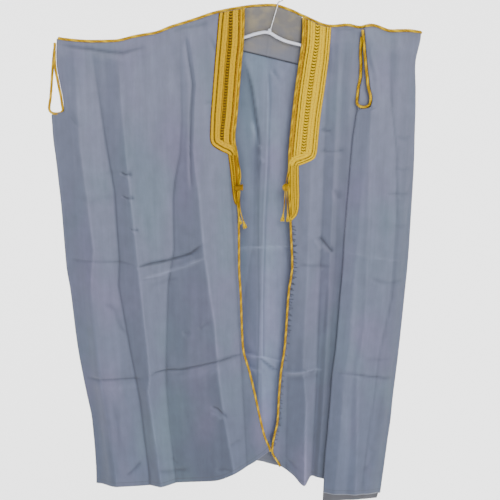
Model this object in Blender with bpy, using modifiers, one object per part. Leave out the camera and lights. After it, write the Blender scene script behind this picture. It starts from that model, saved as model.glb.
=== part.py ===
"""A bisht: a wide, open cloak of thin cloth with gold braid and cord, hung on its hanger.

Metres, +Z up. The front faces -Y and +X is to the right of someone who looks at the front.
The origin is the inside top of the hanger's hook, where it bears on a rod.
The right side of the cloak is turned forward, so that a strip of the back lies over the right front.
"""

import math
from collections import namedtuple

import bmesh
import bpy
import numpy as np
from mathutils import Matrix, Vector

# Cloth, seams and cords
CLOTH = 0.0014  # thickness of the cloak's cloth
GAP = 0.00035  # between neighbouring pieces
BRAID_GAP = 0.0009  # behind the braid, whose points lie on the flat faces of a bent panel
SEAM_HALF = CLOTH / 2 + GAP / 2  # from the middle of a seam to the middle of each layer
EDGE_CORD_RADIUS = 0.0033  # gold cord on the shoulders, neck and hand openings
FRONT_CORD_RADIUS = 0.0028  # gold cord down the front edges
CORD_SIDES = 2  # bevel resolution of a cord's round section
NECK_SHIFT = -0.018  # the cloak's middle hangs this far from the hook, to the left

# Depth of the hollow inside, and of the right side's turned layers
HANGER_RADIUS = 0.005
YOKE = 0.001
TURN_LAYER_STEP = 0.0056  # from the right front to its own layer turned back over it
TURN_HALF = 0.0015  # half the depth between front and back where they reach the right fold
FLAP_HOLLOW = 0.0074  # depth of the hollow between the two turned layers
FLAP_GAP = 0.0008  # least distance between the turned layers, over that of a seam
FOLD_INSET = 0.0072  # the layers start to turn this far inside the right fold
INNER_FOLD_INSET = 0.0026  # the right front turns this much inside the back
SIDE_CLOSING = 0.070  # distance over which the layers close towards a side fold
HAND_GAPE = 0.0074  # how far each edge of a hand opening stands from the fold's middle
HAND_CORD_CLEAR = 0.0004  # more room round a hand opening's cord than at a seam
HAND_CORD_START = 0.06  # shares of the first row at which the cord starts and ends
HAND_CORD_END = 0.5
# Lower end of a hand cord: share of the way from front edge to back edge, and height in millimetres
HAND_CORD_TURN = ((0.03, 8.0), (0.22, 1.5), (0.5, 0.0), (0.78, 1.5), (0.97, 7.0), (1.02, 16.0))
HAND_LENGTH_LEFT = 0.208
HAND_LENGTH_RIGHT = 0.215

# Shares of each column's drop, from the top edge to the hem, at which the panels have a row of points
ROWS = (0, 0.03, 0.08, 0.15, 0.20, 0.258, 0.28, 0.30, 0.355, 0.41, 0.50, 0.58, 0.66, 0.74, 0.82,
        0.89, 0.95, 1)
SLIT_ROW = 3  # the row at the lower end of the hand openings

# Outline of the shown cloak by height, in millimetres
Section = namedtuple("Section", "z left_side left_edge right_edge right_fold flap_side")
SECTIONS = (
    Section(-50, -565, -72, 91, 396, 246),
    Section(-130, -567, -74, 90, 400, 246),
    Section(-200, -578, -81, 82, 391, 244),
    Section(-270, -588, -87, 73, 396, 242),
    Section(-330, -595, -92, 67, 399, 236),
    Section(-400, -595, -99, 61, 401, 228),
    Section(-450, -592, -91, 58, 403, 225),
    Section(-520, -589, -86, 58, 404, 222),
    Section(-600, -586, -87, 62, 404, 218),
    Section(-690, -585, -87, 67, 404, 215),
    Section(-770, -584, -87, 71, 403, 213),
    Section(-850, -577, -83, 62, 400, 209),
    Section(-1020, -568, -77, 53, 393, 201),
    Section(-1110, -559, -56, 42, 388, 193),
    Section(-1190, -549, -40, 37, 383, 190),
    Section(-1270, -539, -25, 35, 380, 186),
    Section(-1330, -537, -12, 25, 375, 183),
    Section(-1375, -536, 4, 21, 372, 180),
    Section(-1430, -536, 6, 45, 368, 178),
    Section(-1540, -540, 8, 50, 360, 176),
)

# Top edge, from the left hand opening over both shoulders and the back neck to the right fold
TopPoint = namedtuple("TopPoint", "x z")
TOP_EDGE = (
    TopPoint(-580, -132),
    TopPoint(-544, -139),
    TopPoint(-473, -144),
    TopPoint(-414, -143),
    TopPoint(-357, -131),
    TopPoint(-299, -121),
    TopPoint(-265, -108),
    TopPoint(-199, -88),
    TopPoint(-142, -70),
    TopPoint(-70, -57),
    TopPoint(-31, -53),
    TopPoint(6, -52),
    TopPoint(46, -62),
    TopPoint(88, -80),
    TopPoint(161, -105),
    TopPoint(207, -102),
    TopPoint(236, -108),
    TopPoint(267, -102),
    TopPoint(320, -117),
    TopPoint(360, -116),
    TopPoint(410, -122),
)

# Lower edges, in millimetres: each piece hangs a little differently
HemPoint = namedtuple("HemPoint", "x z")
HEM_FRONT_LEFT = (
    HemPoint(-545, -1498),
    HemPoint(-480, -1500),
    HemPoint(-340, -1498),
    HemPoint(-274, -1488),
    HemPoint(-163, -1477),
    HemPoint(-103, -1452),
    HemPoint(-52, -1424),
    HemPoint(8, -1375),
)
HEM_FRONT_RIGHT = (
    HemPoint(45, -1430),
    HemPoint(82, -1459),
    HemPoint(117, -1494),
    HemPoint(139, -1463),
    HemPoint(175, -1472),
    HemPoint(260, -1492),
    HemPoint(360, -1528),
)
HEM_BACK = (
    HemPoint(-545, -1498),
    HemPoint(-480, -1510),
    HemPoint(-220, -1507),
    HemPoint(-163, -1466),
    HemPoint(-53, -1424),
    HemPoint(37, -1449),
    HemPoint(83, -1459),
    HemPoint(175, -1462),
    HemPoint(260, -1492),
    HemPoint(360, -1528),
)
HEM_TURNED_FRONT = (HemPoint(176, -1551), HemPoint(296, -1546), HemPoint(346, -1548), HemPoint(372, -1530))
HEM_TURNED_BACK = (HemPoint(176, -1518), HemPoint(296, -1522), HemPoint(372, -1529))
HEM_FOLD = (HemPoint(340, -1529), HemPoint(410, -1529))

# Half depth of the hollow by distance below the top edge, in millimetres, on the shoulders and by the neck
Depth = namedtuple("Depth", "below front back neck_front neck_back")
HOLLOW = (
    Depth(0, 0.9, 0.9, 3.4, 4.4),
    Depth(42, 6.1, 7.5, 8.8, 8.8),
    Depth(118, 6.1, 7.5, 8.8, 8.8),
    Depth(230, 12.0, 12.0, 12.0, 12.0),
    Depth(700, 13.0, 14.0, 13.0, 14.0),
    Depth(1200, 14.0, 16.0, 14.0, 16.0),
    Depth(1500, 15.0, 18.0, 15.0, 18.0),
)
NECK_MIDDLE = 0.010
NECK_REACH = 0.170  # the neck's own depths fade out by this distance from its middle
NECK_FADE = 0.080
HIDDEN_TOP_DROP = 0.0028  # the layer behind each joined top edge ends this much lower

# Long soft folds: where each runs, how far it stands out of its panel, and how wide it is, in millimetres
Fold = namedtuple("Fold", "x_top x_hem rise_top rise_hem half_width")
FRONT_FOLDS = (
    Fold(-520, -500, 1.5, 5.0, 26),
    Fold(-412, -340, 2.5, 8.0, 30),
    Fold(-320, -225, 1.0, 5.0, 26),
    Fold(-215, -103, 3.0, 8.0, 28),
    Fold(160, 118, 0.0, 8.0, 22),
    Fold(205, 165, 1.5, 3.0, 20),
)
BACK_FOLDS = (
    Fold(-470, -420, 2.0, 8.0, 40),
    Fold(-300, -250, 3.0, 10.0, 44),
    Fold(-150, -110, 2.0, 9.0, 36),
    Fold(-30, -25, 0.0, 3.0, 24),
    Fold(120, 105, 2.0, 9.0, 36),
    Fold(270, 235, 2.5, 9.0, 40),
)
FLAP_FOLDS = (
    Fold(292, 215, 1.5, 2.4, 16),
    Fold(345, 300, 1.5, 2.4, 18),
)
FOLD_START = 0.15  # no fold stands out nearer the top edge than this

# Width of the gold braid at each row of the panels, in millimetres
BAND_WIDTH_LEFT = (68, 68, 68, 68, 68, 68, 64, 27)
BAND_WIDTH_RIGHT = (72, 72, 73, 74, 74, 74, 69, 29)
STRIP_WIDTH_LEFT = (27, 20, 13)
STRIP_WIDTH_RIGHT = (29, 28, 21)
# Cloth beside the front edge below the braid keeps this width between its columns
EDGE_STRIP = 30
# Relief across the wide braid: share of its width from the front edge, and thickness in millimetres
Relief = namedtuple("Relief", "share thickness")
BAND_RELIEF = (
    Relief(0.0, 2.0),
    Relief(0.08, 2.0),
    Relief(0.11, 1.0),
    Relief(0.20, 1.0),
    Relief(0.24, 1.5),
    Relief(0.46, 1.5),
    Relief(0.49, 2.1),
    Relief(0.60, 2.1),
    Relief(0.63, 1.5),
    Relief(0.84, 1.5),
    Relief(0.88, 1.0),
    Relief(0.92, 2.0),
    Relief(1.0, 2.0),
)
STRIP_RELIEF = (
    Relief(0.0, 1.6),
    Relief(0.2, 1.6),
    Relief(0.3, 1.1),
    Relief(0.49, 1.1),
    Relief(0.7, 1.1),
    Relief(0.8, 1.6),
    Relief(1.0, 1.6),
)
BRAID_SHARES = (0, 0.49, 1)  # columns of each front under its braid
BAND_ROWS = (0, 1, 2, 3, 4, 5, 6, 7)
STRIP_ROWS = (7.012, 8, 9)

# Ties: a cord from the braid to a ball knot, and two tails with tufts below it, as (x, z) routes
BALL_RADIUS = 0.0085
TIE_RADIUS = 0.0016
Tie = namedtuple("Tie", "cord ball tails")
TIE_LEFT = Tie(
    cord=((-0.0890, -0.440), (-0.0860, -0.462), (-0.0815, -0.485), (-0.0800, -0.510), (-0.0810, -0.5285)),
    ball=(-0.0830, -0.5370),
    tails=(
        ((-0.0855, -0.5462), (-0.0885, -0.575), (-0.0865, -0.605), (-0.0835, -0.6250)),
        ((-0.0800, -0.5462), (-0.0785, -0.575), (-0.0765, -0.605), (-0.0690, -0.6360)),
    ),
)
TIE_RIGHT = Tie(
    cord=((0.0560, -0.478), (0.0530, -0.495), (0.0490, -0.512), (0.0475, -0.5285)),
    ball=(0.0470, -0.5370),
    tails=(
        ((0.0450, -0.5462), (0.0440, -0.575), (0.0425, -0.600), (0.0400, -0.6220)),
        ((0.0495, -0.5462), (0.0505, -0.575), (0.0515, -0.600), (0.0520, -0.6220)),
    ),
)
TUFT_HEAD = 0.0042  # width of a tuft's bound head
TUFT_HEAD_LENGTH = 0.005
TUFT_STRANDS = 3  # strands along each side of the head
TUFT_LENGTH = 0.016
TUFT_SPREAD = 1.7
TUFT_REACH = 0.0046  # from a tuft's axis to its furthest strand
TIE_END_GAP = 0.0008

# Hanger, as (x, z) from the cloak's middle
HANGER_ARMS = ((-0.212, -0.168), (-0.140, -0.150), (-0.070, -0.132), (-0.038, -0.1225), (-0.006, -0.1185),
               (0.021, -0.132), (0.045, -0.142), (0.083, -0.1515), (0.140, -0.168), (0.188, -0.183))
HOOK_WIRE_RADIUS = 0.0018
HOOK_BEND_RADIUS = 0.020  # inside of the hook
HOOK_LOW = (0.0, -0.1150)
HOOK_STEPS = 14

# Facing inside the back neck: the columns and rows of the back that carry it, and its slanted seam
YOKE_COLUMNS = (14, 22)
YOKE_ROWS = 3
YOKE_SEAM = ((-0.074, -0.1655), (0.077, -0.202))
YOKE_SLOPE = (YOKE_SEAM[1][1] - YOKE_SEAM[0][1]) / (YOKE_SEAM[1][0] - YOKE_SEAM[0][0])
NECK_CORD_BACK = 0.0014  # the neck cord lies this far behind the top edge, clear of the hook
FOLD_AND_FLAP_COLUMNS = 11  # columns of the right front past its main part
NECK_LEFT = -0.066
NECK_RIGHT = 0.085

CLOTH_COLOUR = (0.245, 0.270, 0.335, 1.0)
YOKE_COLOUR = (0.21, 0.205, 0.20, 1.0)
GOLD_COLOUR = (0.68, 0.39, 0.045, 1.0)
PLASTIC_COLOUR = (0.70, 0.70, 0.74, 1.0)
STEEL_COLOUR = (0.35, 0.35, 0.37, 1.0)

MM = 0.001


def clear_scene():
    for obj in list(bpy.data.objects):
        bpy.data.objects.remove(obj, do_unlink=True)


def new_collection(name):
    collection = bpy.data.collections.new(name)
    bpy.context.scene.collection.children.link(collection)
    return collection


def material(name, colour, roughness, metallic=0.0):
    made = bpy.data.materials.new(name)
    made.use_nodes = True
    shader = made.node_tree.nodes["Principled BSDF"]
    shader.inputs["Base Color"].default_value = colour
    shader.inputs["Roughness"].default_value = roughness
    shader.inputs["Metallic"].default_value = metallic
    return made


def column_of(table, key, value, at):
    """Reads one named column of a table at a place of another, both in metres."""
    places = [getattr(row, key) * MM for row in table]
    values = [getattr(row, value) * MM for row in table]
    if places[0] > places[-1]:
        places, values = places[::-1], values[::-1]
    return float(np.interp(at, places, values))


def edge_x(name, z):
    return column_of(SECTIONS, "z", name, z)


def top_z(x):
    return column_of(TOP_EDGE, "x", "z", x)


def smooth(value):
    value = min(max(value, 0.0), 1.0)
    return value * value * (3 - 2 * value)


def fold_rise(folds, x, z):
    """How far the folds stand out at a place: each is a soft ridge along its own line."""
    below = top_z(x) - z
    share = smooth((below - FOLD_START) / 0.25)
    drop = min(max(below / 1.4, 0.0), 1.0)
    rise = 0.0
    for fold in folds:
        middle = (fold.x_top + (fold.x_hem - fold.x_top) * drop) * MM
        height = (fold.rise_top + (fold.rise_hem - fold.rise_top) * drop) * MM
        rise += height * math.exp(-(((x - middle) / (fold.half_width * MM)) ** 2))
    return rise * share


def gape(below, length):
    """Half distance between the two edges of a hand opening, by distance below the top edge."""
    if below <= 0 or below >= length:
        return SEAM_HALF
    return SEAM_HALF + HAND_GAPE * math.sin(math.pi * below / length) ** 0.7


def half_depth(side, x, z):
    """Distance from the middle plane to the middle of the front or back layer, without folds."""
    below = top_z(x) - z
    near_neck = smooth((NECK_REACH - abs(x - NECK_MIDDLE)) / NECK_FADE)
    full = column_of(HOLLOW, "below", side, below)
    full += (column_of(HOLLOW, "below", "neck_" + side, below) - full) * near_neck
    from_left = x - edge_x("left_side", z)
    from_right = edge_x("right_fold", z) - x
    left = min(gape(below, HAND_LENGTH_LEFT), full)
    right = min(TURN_HALF, full)
    depth = left + (full - left) * smooth(from_left / SIDE_CLOSING)
    return right + (depth - right) * smooth(from_right / SIDE_CLOSING)


def side_share(x, z):
    """0 at either side fold and 1 well inside, so that folds die out at the sides."""
    return smooth((x - edge_x("left_side", z)) / 0.05) * smooth((edge_x("right_fold", z) - x) / 0.09)


def front_depth(x, z):
    return -half_depth("front", x, z) - fold_rise(FRONT_FOLDS, x, z) * side_share(x, z)


def back_depth(x, z):
    return half_depth("back", x, z) + fold_rise(BACK_FOLDS, x, z) * side_share(x, z)


def turn_step(below):
    """From the right front to its own turned layer: wider at the top, where two cords lie side by side."""
    return TURN_LAYER_STEP + 0.0024 * (1 - smooth(below / 0.05))


def turned_front_depth(x, z):
    """The right front's own layer, turned back over it."""
    near = min(front_depth(x, z), -TURN_HALF)
    return near - turn_step(top_z(x) - z) - fold_rise(FLAP_FOLDS, x, z) * 0.5 * side_share(x, z)


def flap_hollow(x, z):
    below = top_z(x) - z
    inside = smooth((edge_x("right_fold", z) - x) / 0.045)
    outer = x - edge_x("flap_side", z)
    full = FLAP_HOLLOW * smooth(below / 0.06)
    at_side = 2 * (gape(below, HAND_LENGTH_RIGHT) - SEAM_HALF) * 0.55
    return (at_side + (full - at_side) * smooth(outer / 0.04)) * inside


def turned_back_depth(x, z):
    """The outermost layer: the back, turned forward over the right front."""
    layer = turned_front_depth(x, z) - 2 * SEAM_HALF - FLAP_GAP - flap_hollow(x, z)
    return layer - fold_rise(FLAP_FOLDS, x, z) * 0.5 * side_share(x, z)


def drop_point(x_of, hem, row, top_drop):
    """Place of one column at one row: its height first, then the x of that height."""
    x = x_of(-0.7)
    for _ in range(4):
        high = top_z(x_of(top_z(x))) - top_drop
        low = column_of(hem, "x", "z", x_of(column_of(hem, "x", "z", x)))
        z = high + (low - high) * ROWS[row]
        x = x_of(z)
    return x, z


def grid(columns):
    """Points of a panel: a list of columns, each (x_of, hem, depth, top_drop), at every row."""
    points = []
    for row in range(len(ROWS)):
        line = []
        for x_of, hem, depth, top_drop in columns:
            x, z = drop_point(x_of, hem, row, top_drop)
            line.append((x, depth(x, z), z))
        points.append(line)
    return points


def between(first, last, share):
    """Column part of the way between two edges."""
    return lambda z: first(z) + (last(z) - first(z)) * share


def shifted(point):
    return Vector((point[0] + NECK_SHIFT, point[1], point[2]))


def add_sheet(name, points, thickness, paint, collection, missing=()):
    """A cloth panel: an open grid of points given its thickness by Solidify."""
    mesh = bpy.data.meshes.new(name)
    shape = bmesh.new()
    verts = [[shape.verts.new(shifted(point)) for point in line] for line in points]
    for row in range(len(verts) - 1):
        for col in range(len(verts[0]) - 1):
            if (row, col) in missing:
                continue
            corners = (verts[row][col], verts[row][col + 1], verts[row + 1][col + 1], verts[row + 1][col])
            shape.faces.new(corners)
    loose = [vert for vert in shape.verts if not vert.link_faces]
    bmesh.ops.delete(shape, geom=loose, context="VERTS")
    shape.to_mesh(mesh)
    shape.free()
    obj = bpy.data.objects.new(name, mesh)
    collection.objects.link(obj)
    wall = obj.modifiers.new("wall", "SOLIDIFY")
    wall.thickness = thickness
    wall.offset = 0.0
    wall.use_even_offset = True
    wall.use_quality_normals = True
    mesh.shade_smooth()
    mesh.materials.append(paint)
    return obj


def add_relief(name, backs, fronts, paint, collection):
    """A braid: a plain back that lies on the panel, and a raised front, closed along its rim."""
    mesh = bpy.data.meshes.new(name)
    shape = bmesh.new()
    back = [[shape.verts.new(shifted(point)) for point in line] for line in backs]
    front = [[shape.verts.new(shifted(point)) for point in line] for line in fronts]
    rows, cols = len(back), len(back[0])
    for row in range(rows - 1):
        for col in range(cols - 1):
            for face, turned in ((back, True), (front, False)):
                corners = [face[row][col], face[row + 1][col], face[row + 1][col + 1], face[row][col + 1]]
                shape.faces.new(corners[::-1] if turned else corners)
    rim = [(0, col) for col in range(cols)] + [(row, cols - 1) for row in range(1, rows)]
    rim += [(rows - 1, col) for col in range(cols - 2, -1, -1)]
    rim += [(row, 0) for row in range(rows - 2, 0, -1)]
    for here, after in zip(rim, rim[1:] + rim[:1]):
        shape.faces.new((front[here[0]][here[1]], front[after[0]][after[1]],
                         back[after[0]][after[1]], back[here[0]][here[1]]))
    bmesh.ops.recalc_face_normals(shape, faces=shape.faces)
    shape.to_mesh(mesh)
    shape.free()
    obj = bpy.data.objects.new(name, mesh)
    collection.objects.link(obj)
    mesh.materials.append(paint)
    return obj


def add_cord(name, route, radius, paint, collection, resolution=CORD_SIDES):
    """A round cord or wire along a route of points."""
    curve = bpy.data.curves.new(name, "CURVE")
    curve.dimensions = "3D"
    curve.bevel_depth = radius
    curve.bevel_resolution = resolution
    curve.use_fill_caps = True
    spline = curve.splines.new("POLY")
    spline.points.add(len(route) - 1)
    for point, place in zip(spline.points, route):
        point.co = (*shifted(place), 1.0)
    obj = bpy.data.objects.new(name, curve)
    collection.objects.link(obj)
    curve.materials.append(paint)
    return obj


def smooth_route(points, spacing):
    """Points read at even spacing from a smooth curve through a route's own points."""
    points = [Vector(point) for point in points]
    ends = [points[0] * 2 - points[1]] + points + [points[-1] * 2 - points[-2]]
    fine = []
    for before, start, stop, after in zip(ends, ends[1:], ends[2:], ends[3:]):
        for step in range(16):
            t = step / 16
            fine.append(0.5 * (2 * start + (stop - before) * t
                               + (2 * before - 5 * start + 4 * stop - after) * t ** 2
                               + (3 * start - before - 3 * stop + after) * t ** 3))
    fine.append(points[-1])
    lengths = [0.0]
    for here, there in zip(fine, fine[1:]):
        lengths.append(lengths[-1] + (there - here).length)
    count = max(2, round(lengths[-1] / spacing) + 1)
    targets = np.linspace(0, lengths[-1], count)
    return [tuple(float(np.interp(at, lengths, [point[axis] for point in fine])) for axis in range(3))
            for at in targets]


def beside(edge, inner, distance):
    """Points beside a panel's edge, away from the next column of the panel and square to the edge."""
    moved = []
    for index, place in enumerate(edge):
        before = Vector(edge[max(index - 1, 0)])
        after = Vector(edge[min(index + 1, len(edge) - 1)])
        along = (after - before).normalized()
        out = Vector(place) - Vector(inner[index])
        out = (out - along * out.dot(along)).normalized()
        moved.append(tuple(Vector(place) + out * distance))
    return moved


def column(points, index, first=0, last=None):
    last = len(points) - 1 if last is None else last
    return [points[row][index] for row in range(first, last + 1)]


def left_front_strand(z):
    """Front edge of the left hand opening, which swings in from the side as it goes down."""
    ends = ((-0.130, -0.566), (-0.203, -0.570), (-0.248, -0.565), (-0.302, -0.558), (-0.328, -0.5575),
            (-0.345, -0.566))
    heights = [height for height, _ in ends][::-1]
    return max(float(np.interp(z, heights, [x for _, x in ends][::-1])), edge_x("left_side", z) + 0.0008)


def right_front_strand(z):
    """Edge of the turned back beside the right hand opening."""
    ends = ((-0.110, 0.248), (-0.159, 0.2535), (-0.201, 0.259), (-0.227, 0.263), (-0.260, 0.268),
            (-0.290, 0.2755), (-0.308, 0.273), (-0.330, 0.262))
    heights = [height for height, _ in ends][::-1]
    return max(float(np.interp(z, heights, [x for _, x in ends][::-1])), edge_x("flap_side", z) + 0.020)


def stated(name):
    return lambda z: edge_x(name, z)


def row_width(widths, z, edge_top, edge_low):
    """Width beside a front edge at a height, from the widths stated at the rows."""
    share = (edge_top - z) / (edge_top - edge_low)
    return float(np.interp(share, ROWS[:len(widths)], widths)) * MM


def build_front_left(paint, collection):
    widths = BAND_WIDTH_LEFT + STRIP_WIDTH_LEFT[1:] + (EDGE_STRIP,) * (len(ROWS) - STRIP_ROWS[-1] - 1)
    edge = stated("left_edge")
    inner = {share: (lambda z, share=share: edge(z) - share * row_width(widths, z, -0.057, -1.375))
             for share in BRAID_SHARES}
    plain = 14
    strand = left_front_strand
    columns = [(inner[share], HEM_FRONT_LEFT, front_depth, 0) for share in BRAID_SHARES]
    for step in range(1, plain):
        columns.append((between(inner[1], strand, step / plain), HEM_FRONT_LEFT, front_depth, 0))
    columns.append((strand, HEM_FRONT_LEFT, front_depth, 0))
    columns.append((stated("left_side"), HEM_FRONT_LEFT, front_depth, 0))
    points = grid(columns)
    last = len(columns) - 1
    missing = {(row, last - 1) for row in range(SLIT_ROW)}
    add_sheet("front_left", points, CLOTH, paint, collection, missing)
    return points


def build_front_right(paint, collection):
    widths = BAND_WIDTH_RIGHT + STRIP_WIDTH_RIGHT[1:] + (EDGE_STRIP,) * (len(ROWS) - STRIP_ROWS[-1] - 1)
    edge = stated("right_edge")
    inner = {share: (lambda z, share=share: edge(z) + share * row_width(widths, z, -0.080, -1.43))
             for share in BRAID_SHARES}
    middle = lambda z: edge_x("right_fold", z) - FOLD_INSET
    columns = [(inner[share], HEM_FRONT_RIGHT, front_depth, 0) for share in BRAID_SHARES]
    plain = 11
    for step in range(1, plain):
        columns.append((between(inner[1], middle, step / plain), HEM_FRONT_RIGHT, front_depth, 0))
    columns += fold_columns("inner")
    side = lambda z: max(edge_x("flap_side", z), left_strand_of_flap(z))
    flap = 6
    for step in range(1, flap + 1):
        x_of = between(middle, side, step / flap)
        columns.append((x_of, HEM_TURNED_FRONT, turned_front_depth, HIDDEN_TOP_DROP))
    points = grid(columns)
    add_sheet("front_right", points, CLOTH, paint, collection)
    return points


def left_strand_of_flap(z):
    """Edge of the right front's turned layer beside the hand opening."""
    ends = ((-0.110, 0.234), (-0.159, 0.2386), (-0.201, 0.243), (-0.235, 0.244), (-0.267, 0.239),
            (-0.290, 0.2405), (-0.318, 0.236))
    heights = [height for height, _ in ends][::-1]
    if z < -0.33:
        return edge_x("flap_side", z)
    return float(np.interp(z, heights, [x for _, x in ends][::-1]))


def fold_columns(kind):
    """Columns of the right fold, with the depths of the layers that they join."""
    made = []
    for angle in (0.0, 0.30, 0.5, 0.70, 1.0):
        def x_of(z, angle=angle):
            reach = fold_reach(kind, z)
            return edge_x("right_fold", z) - FOLD_INSET + reach * math.sin(math.pi * angle)

        def y_of(x, z, angle=angle):
            near, far = fold_ends(kind, z)
            return (near + far) / 2 + (near - far) / 2 * math.cos(math.pi * angle)

        drop = HIDDEN_TOP_DROP if (angle < 0.5) == (kind == "outer") else 0
        made.append((x_of, HEM_FOLD, y_of, drop))
    return made


def fold_ends(kind, z):
    """Depths of the two layers that a turn joins, just inside the right fold."""
    x = edge_x("right_fold", z) - FOLD_INSET
    if kind == "inner":
        return front_depth(x, z), turned_front_depth(x, z)
    return back_depth(x, z), turned_back_depth(x, z)


def fold_reach(kind, z):
    near, far = fold_ends(kind, z)
    inset = INNER_FOLD_INSET if kind == "inner" else 0
    return min(abs(near - far) / 2, FOLD_INSET - inset - CLOTH / 2)


def build_back(paint, collection):
    left = stated("left_side")
    middle = lambda z: edge_x("right_fold", z) - FOLD_INSET
    plain = 30
    columns = []
    for step in range(plain):
        x_of = between(left, middle, step / plain)
        drop = 0 if NECK_LEFT < x_of(-0.07) < NECK_RIGHT else HIDDEN_TOP_DROP
        columns.append((x_of, HEM_BACK, back_depth, drop))
    columns += fold_columns("outer")
    flap = 6
    for step in range(1, flap):
        x_of = between(middle, right_front_strand, step / flap)
        columns.append((x_of, HEM_TURNED_BACK, turned_back_depth, 0))
    columns.append((right_front_strand, HEM_TURNED_BACK, turned_back_depth, 0))
    columns.append((stated("flap_side"), HEM_TURNED_BACK, turned_back_depth, 0))
    points = grid(columns)
    last = len(columns) - 1
    missing = {(row, last - 1) for row in range(SLIT_ROW)}
    add_sheet("back", points, CLOTH, paint, collection, missing)
    return points


def braid_place(panel, row, share):
    """Place on a front at a row, which may lie between two, and at a share of the braid's width."""
    upper = min(int(row), len(panel) - 2)
    ends = []
    for line in (panel[upper], panel[upper + 1]):
        places = [line[0], line[1], line[2]]
        ends.append(Vector([np.interp(share, BRAID_SHARES, [place[axis] for place in places])
                            for axis in range(3)]))
    return ends[0] + (ends[1] - ends[0]) * (row - upper)


def build_braid(name, panel, rows, relief, paint, collection):
    """Gold braid on the first three columns of a front, raised from the panel's own points."""
    backs, fronts = [], []
    for row in rows:
        back_line, front_line = [], []
        for step in relief:
            place = braid_place(panel, row, step.share)
            back_line.append(tuple(place - Vector((0, CLOTH / 2 + BRAID_GAP, 0))))
            front_line.append(tuple(place - Vector((0, CLOTH / 2 + BRAID_GAP + step.thickness * MM, 0))))
        backs.append(back_line)
        fronts.append(front_line)
    return add_relief(name, backs, fronts, paint, collection)


def build_yoke(panel, paint, collection):
    """The facing inside the back neck, laid on the back's own points, down to its slanted seam."""
    first, last = YOKE_COLUMNS
    lift = Vector((0, -(CLOTH / 2 + GAP + YOKE / 2), 0))
    points = []
    for row in range(YOKE_ROWS):
        points.append([tuple(Vector(panel[row][col]) + lift) for col in range(first, last + 1)])
    low = []
    for col in range(first, last + 1):
        start, stop = Vector(panel[YOKE_ROWS - 1][col]), Vector(panel[YOKE_ROWS][col])
        seam = YOKE_SEAM[0][1] + (start.x - YOKE_SEAM[0][0]) * YOKE_SLOPE
        share = min(max((seam - start.z) / (stop.z - start.z), 0.05), 0.97)
        low.append(tuple(start + (stop - start) * share + lift))
    points.append(low)
    return add_sheet("back_yoke", points, YOKE, paint, collection)


def above(points, distance):
    """Points above a top edge, square to it as seen from the front."""
    moved = []
    for index, (x, y, z) in enumerate(points):
        before = points[max(index - 1, 0)]
        after = points[min(index + 1, len(points) - 1)]
        run, rise = after[0] - before[0], after[2] - before[2]
        if run < 0:
            run, rise = -run, -rise
        length = max(math.hypot(run, rise), 1e-6)
        moved.append((x - rise / length * distance, y, z + run / length * distance))
    return moved


def build_top_cords(left, right, back, paint, collection):
    lift = EDGE_CORD_RADIUS + GAP
    over_left = [(x, (y + back_depth(x, z)) / 2, z) for x, y, z in left[0][:-1]]
    add_cord("shoulder_cord_left", above(over_left, lift), EDGE_CORD_RADIUS, paint, collection)
    neck = [(x, y + NECK_CORD_BACK, z) for x, y, z in back[0] if NECK_LEFT < x < NECK_RIGHT]
    add_cord("neck_cord", above(neck, lift), EDGE_CORD_RADIUS, paint, collection)
    main = len(right[0]) - FOLD_AND_FLAP_COLUMNS
    over_right = [(x, (y + back_depth(x, z)) / 2, z) for x, y, z in right[0][:main]]
    over_flap = [(x, y + SEAM_HALF, z) for x, y, z in back[0][1 - FOLD_AND_FLAP_COLUMNS:-1]]
    route = above(over_right, lift) + above(over_flap, lift)
    add_cord("shoulder_cord_right", route, EDGE_CORD_RADIUS, paint, collection)


def build_front_cord(name, panel, paint, collection):
    route = beside(column(panel, 0), column(panel, 1), FRONT_CORD_RADIUS + GAP)
    add_cord(name, route, FRONT_CORD_RADIUS, paint, collection)
    return route


def panel_depth(panel, first, last, x, z):
    """Depth of a panel's own faces at a place, between two of its columns."""
    heights, depths = [], []
    for line in panel:
        places = sorted(line[first:last])
        across = [place[0] for place in places]
        heights.append(float(np.interp(x, across, [place[2] for place in places])))
        depths.append(float(np.interp(x, across, [place[1] for place in places])))
    return float(np.interp(z, heights[::-1], depths[::-1]))


def build_hand_cord(name, front, front_inner, behind, behind_inner, depth_behind, paint, collection):
    """Cord round a hand opening: down its front edge, round its lower end and up its back edge.

    Both openings face left, so each edge's cord lies to the left of its edge.
    """
    lift = EDGE_CORD_RADIUS + GAP
    clear = CLOTH / 2 + lift + HAND_CORD_CLEAR
    down = beside(front, front_inner, lift)
    up = beside(behind, behind_inner, lift)
    first, last = down[-1][0], up[-1][0]
    low_z = front[-1][2] + lift + HAND_CORD_CLEAR
    flat = [down[0], down[1], down[2]]
    for share, height in HAND_CORD_TURN:
        flat.append((first + (last - first) * share, up[-1][1], low_z + height * MM))
    route = []
    for x, y, z in flat:
        route.append((x, min(y, depth_behind(x, z) - clear), z))
    start = Vector(route[0]) + (Vector(route[1]) - Vector(route[0])) * HAND_CORD_START
    end = Vector(up[0]) + (Vector(up[1]) - Vector(up[0])) * HAND_CORD_END
    route = [tuple(start)] + route[1:] + [up[2], up[1], tuple(end)]
    add_cord(name, route, EDGE_CORD_RADIUS, paint, collection)


def tie_depth(edge_route, radius):
    """Depth of a tie piece of this radius that rests on the front of the edge cord at a height."""
    heights = [place[2] for place in edge_route][::-1]
    depths = [place[1] for place in edge_route][::-1]
    return lambda z: float(np.interp(z, heights, depths)) - FRONT_CORD_RADIUS - GAP - radius


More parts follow.
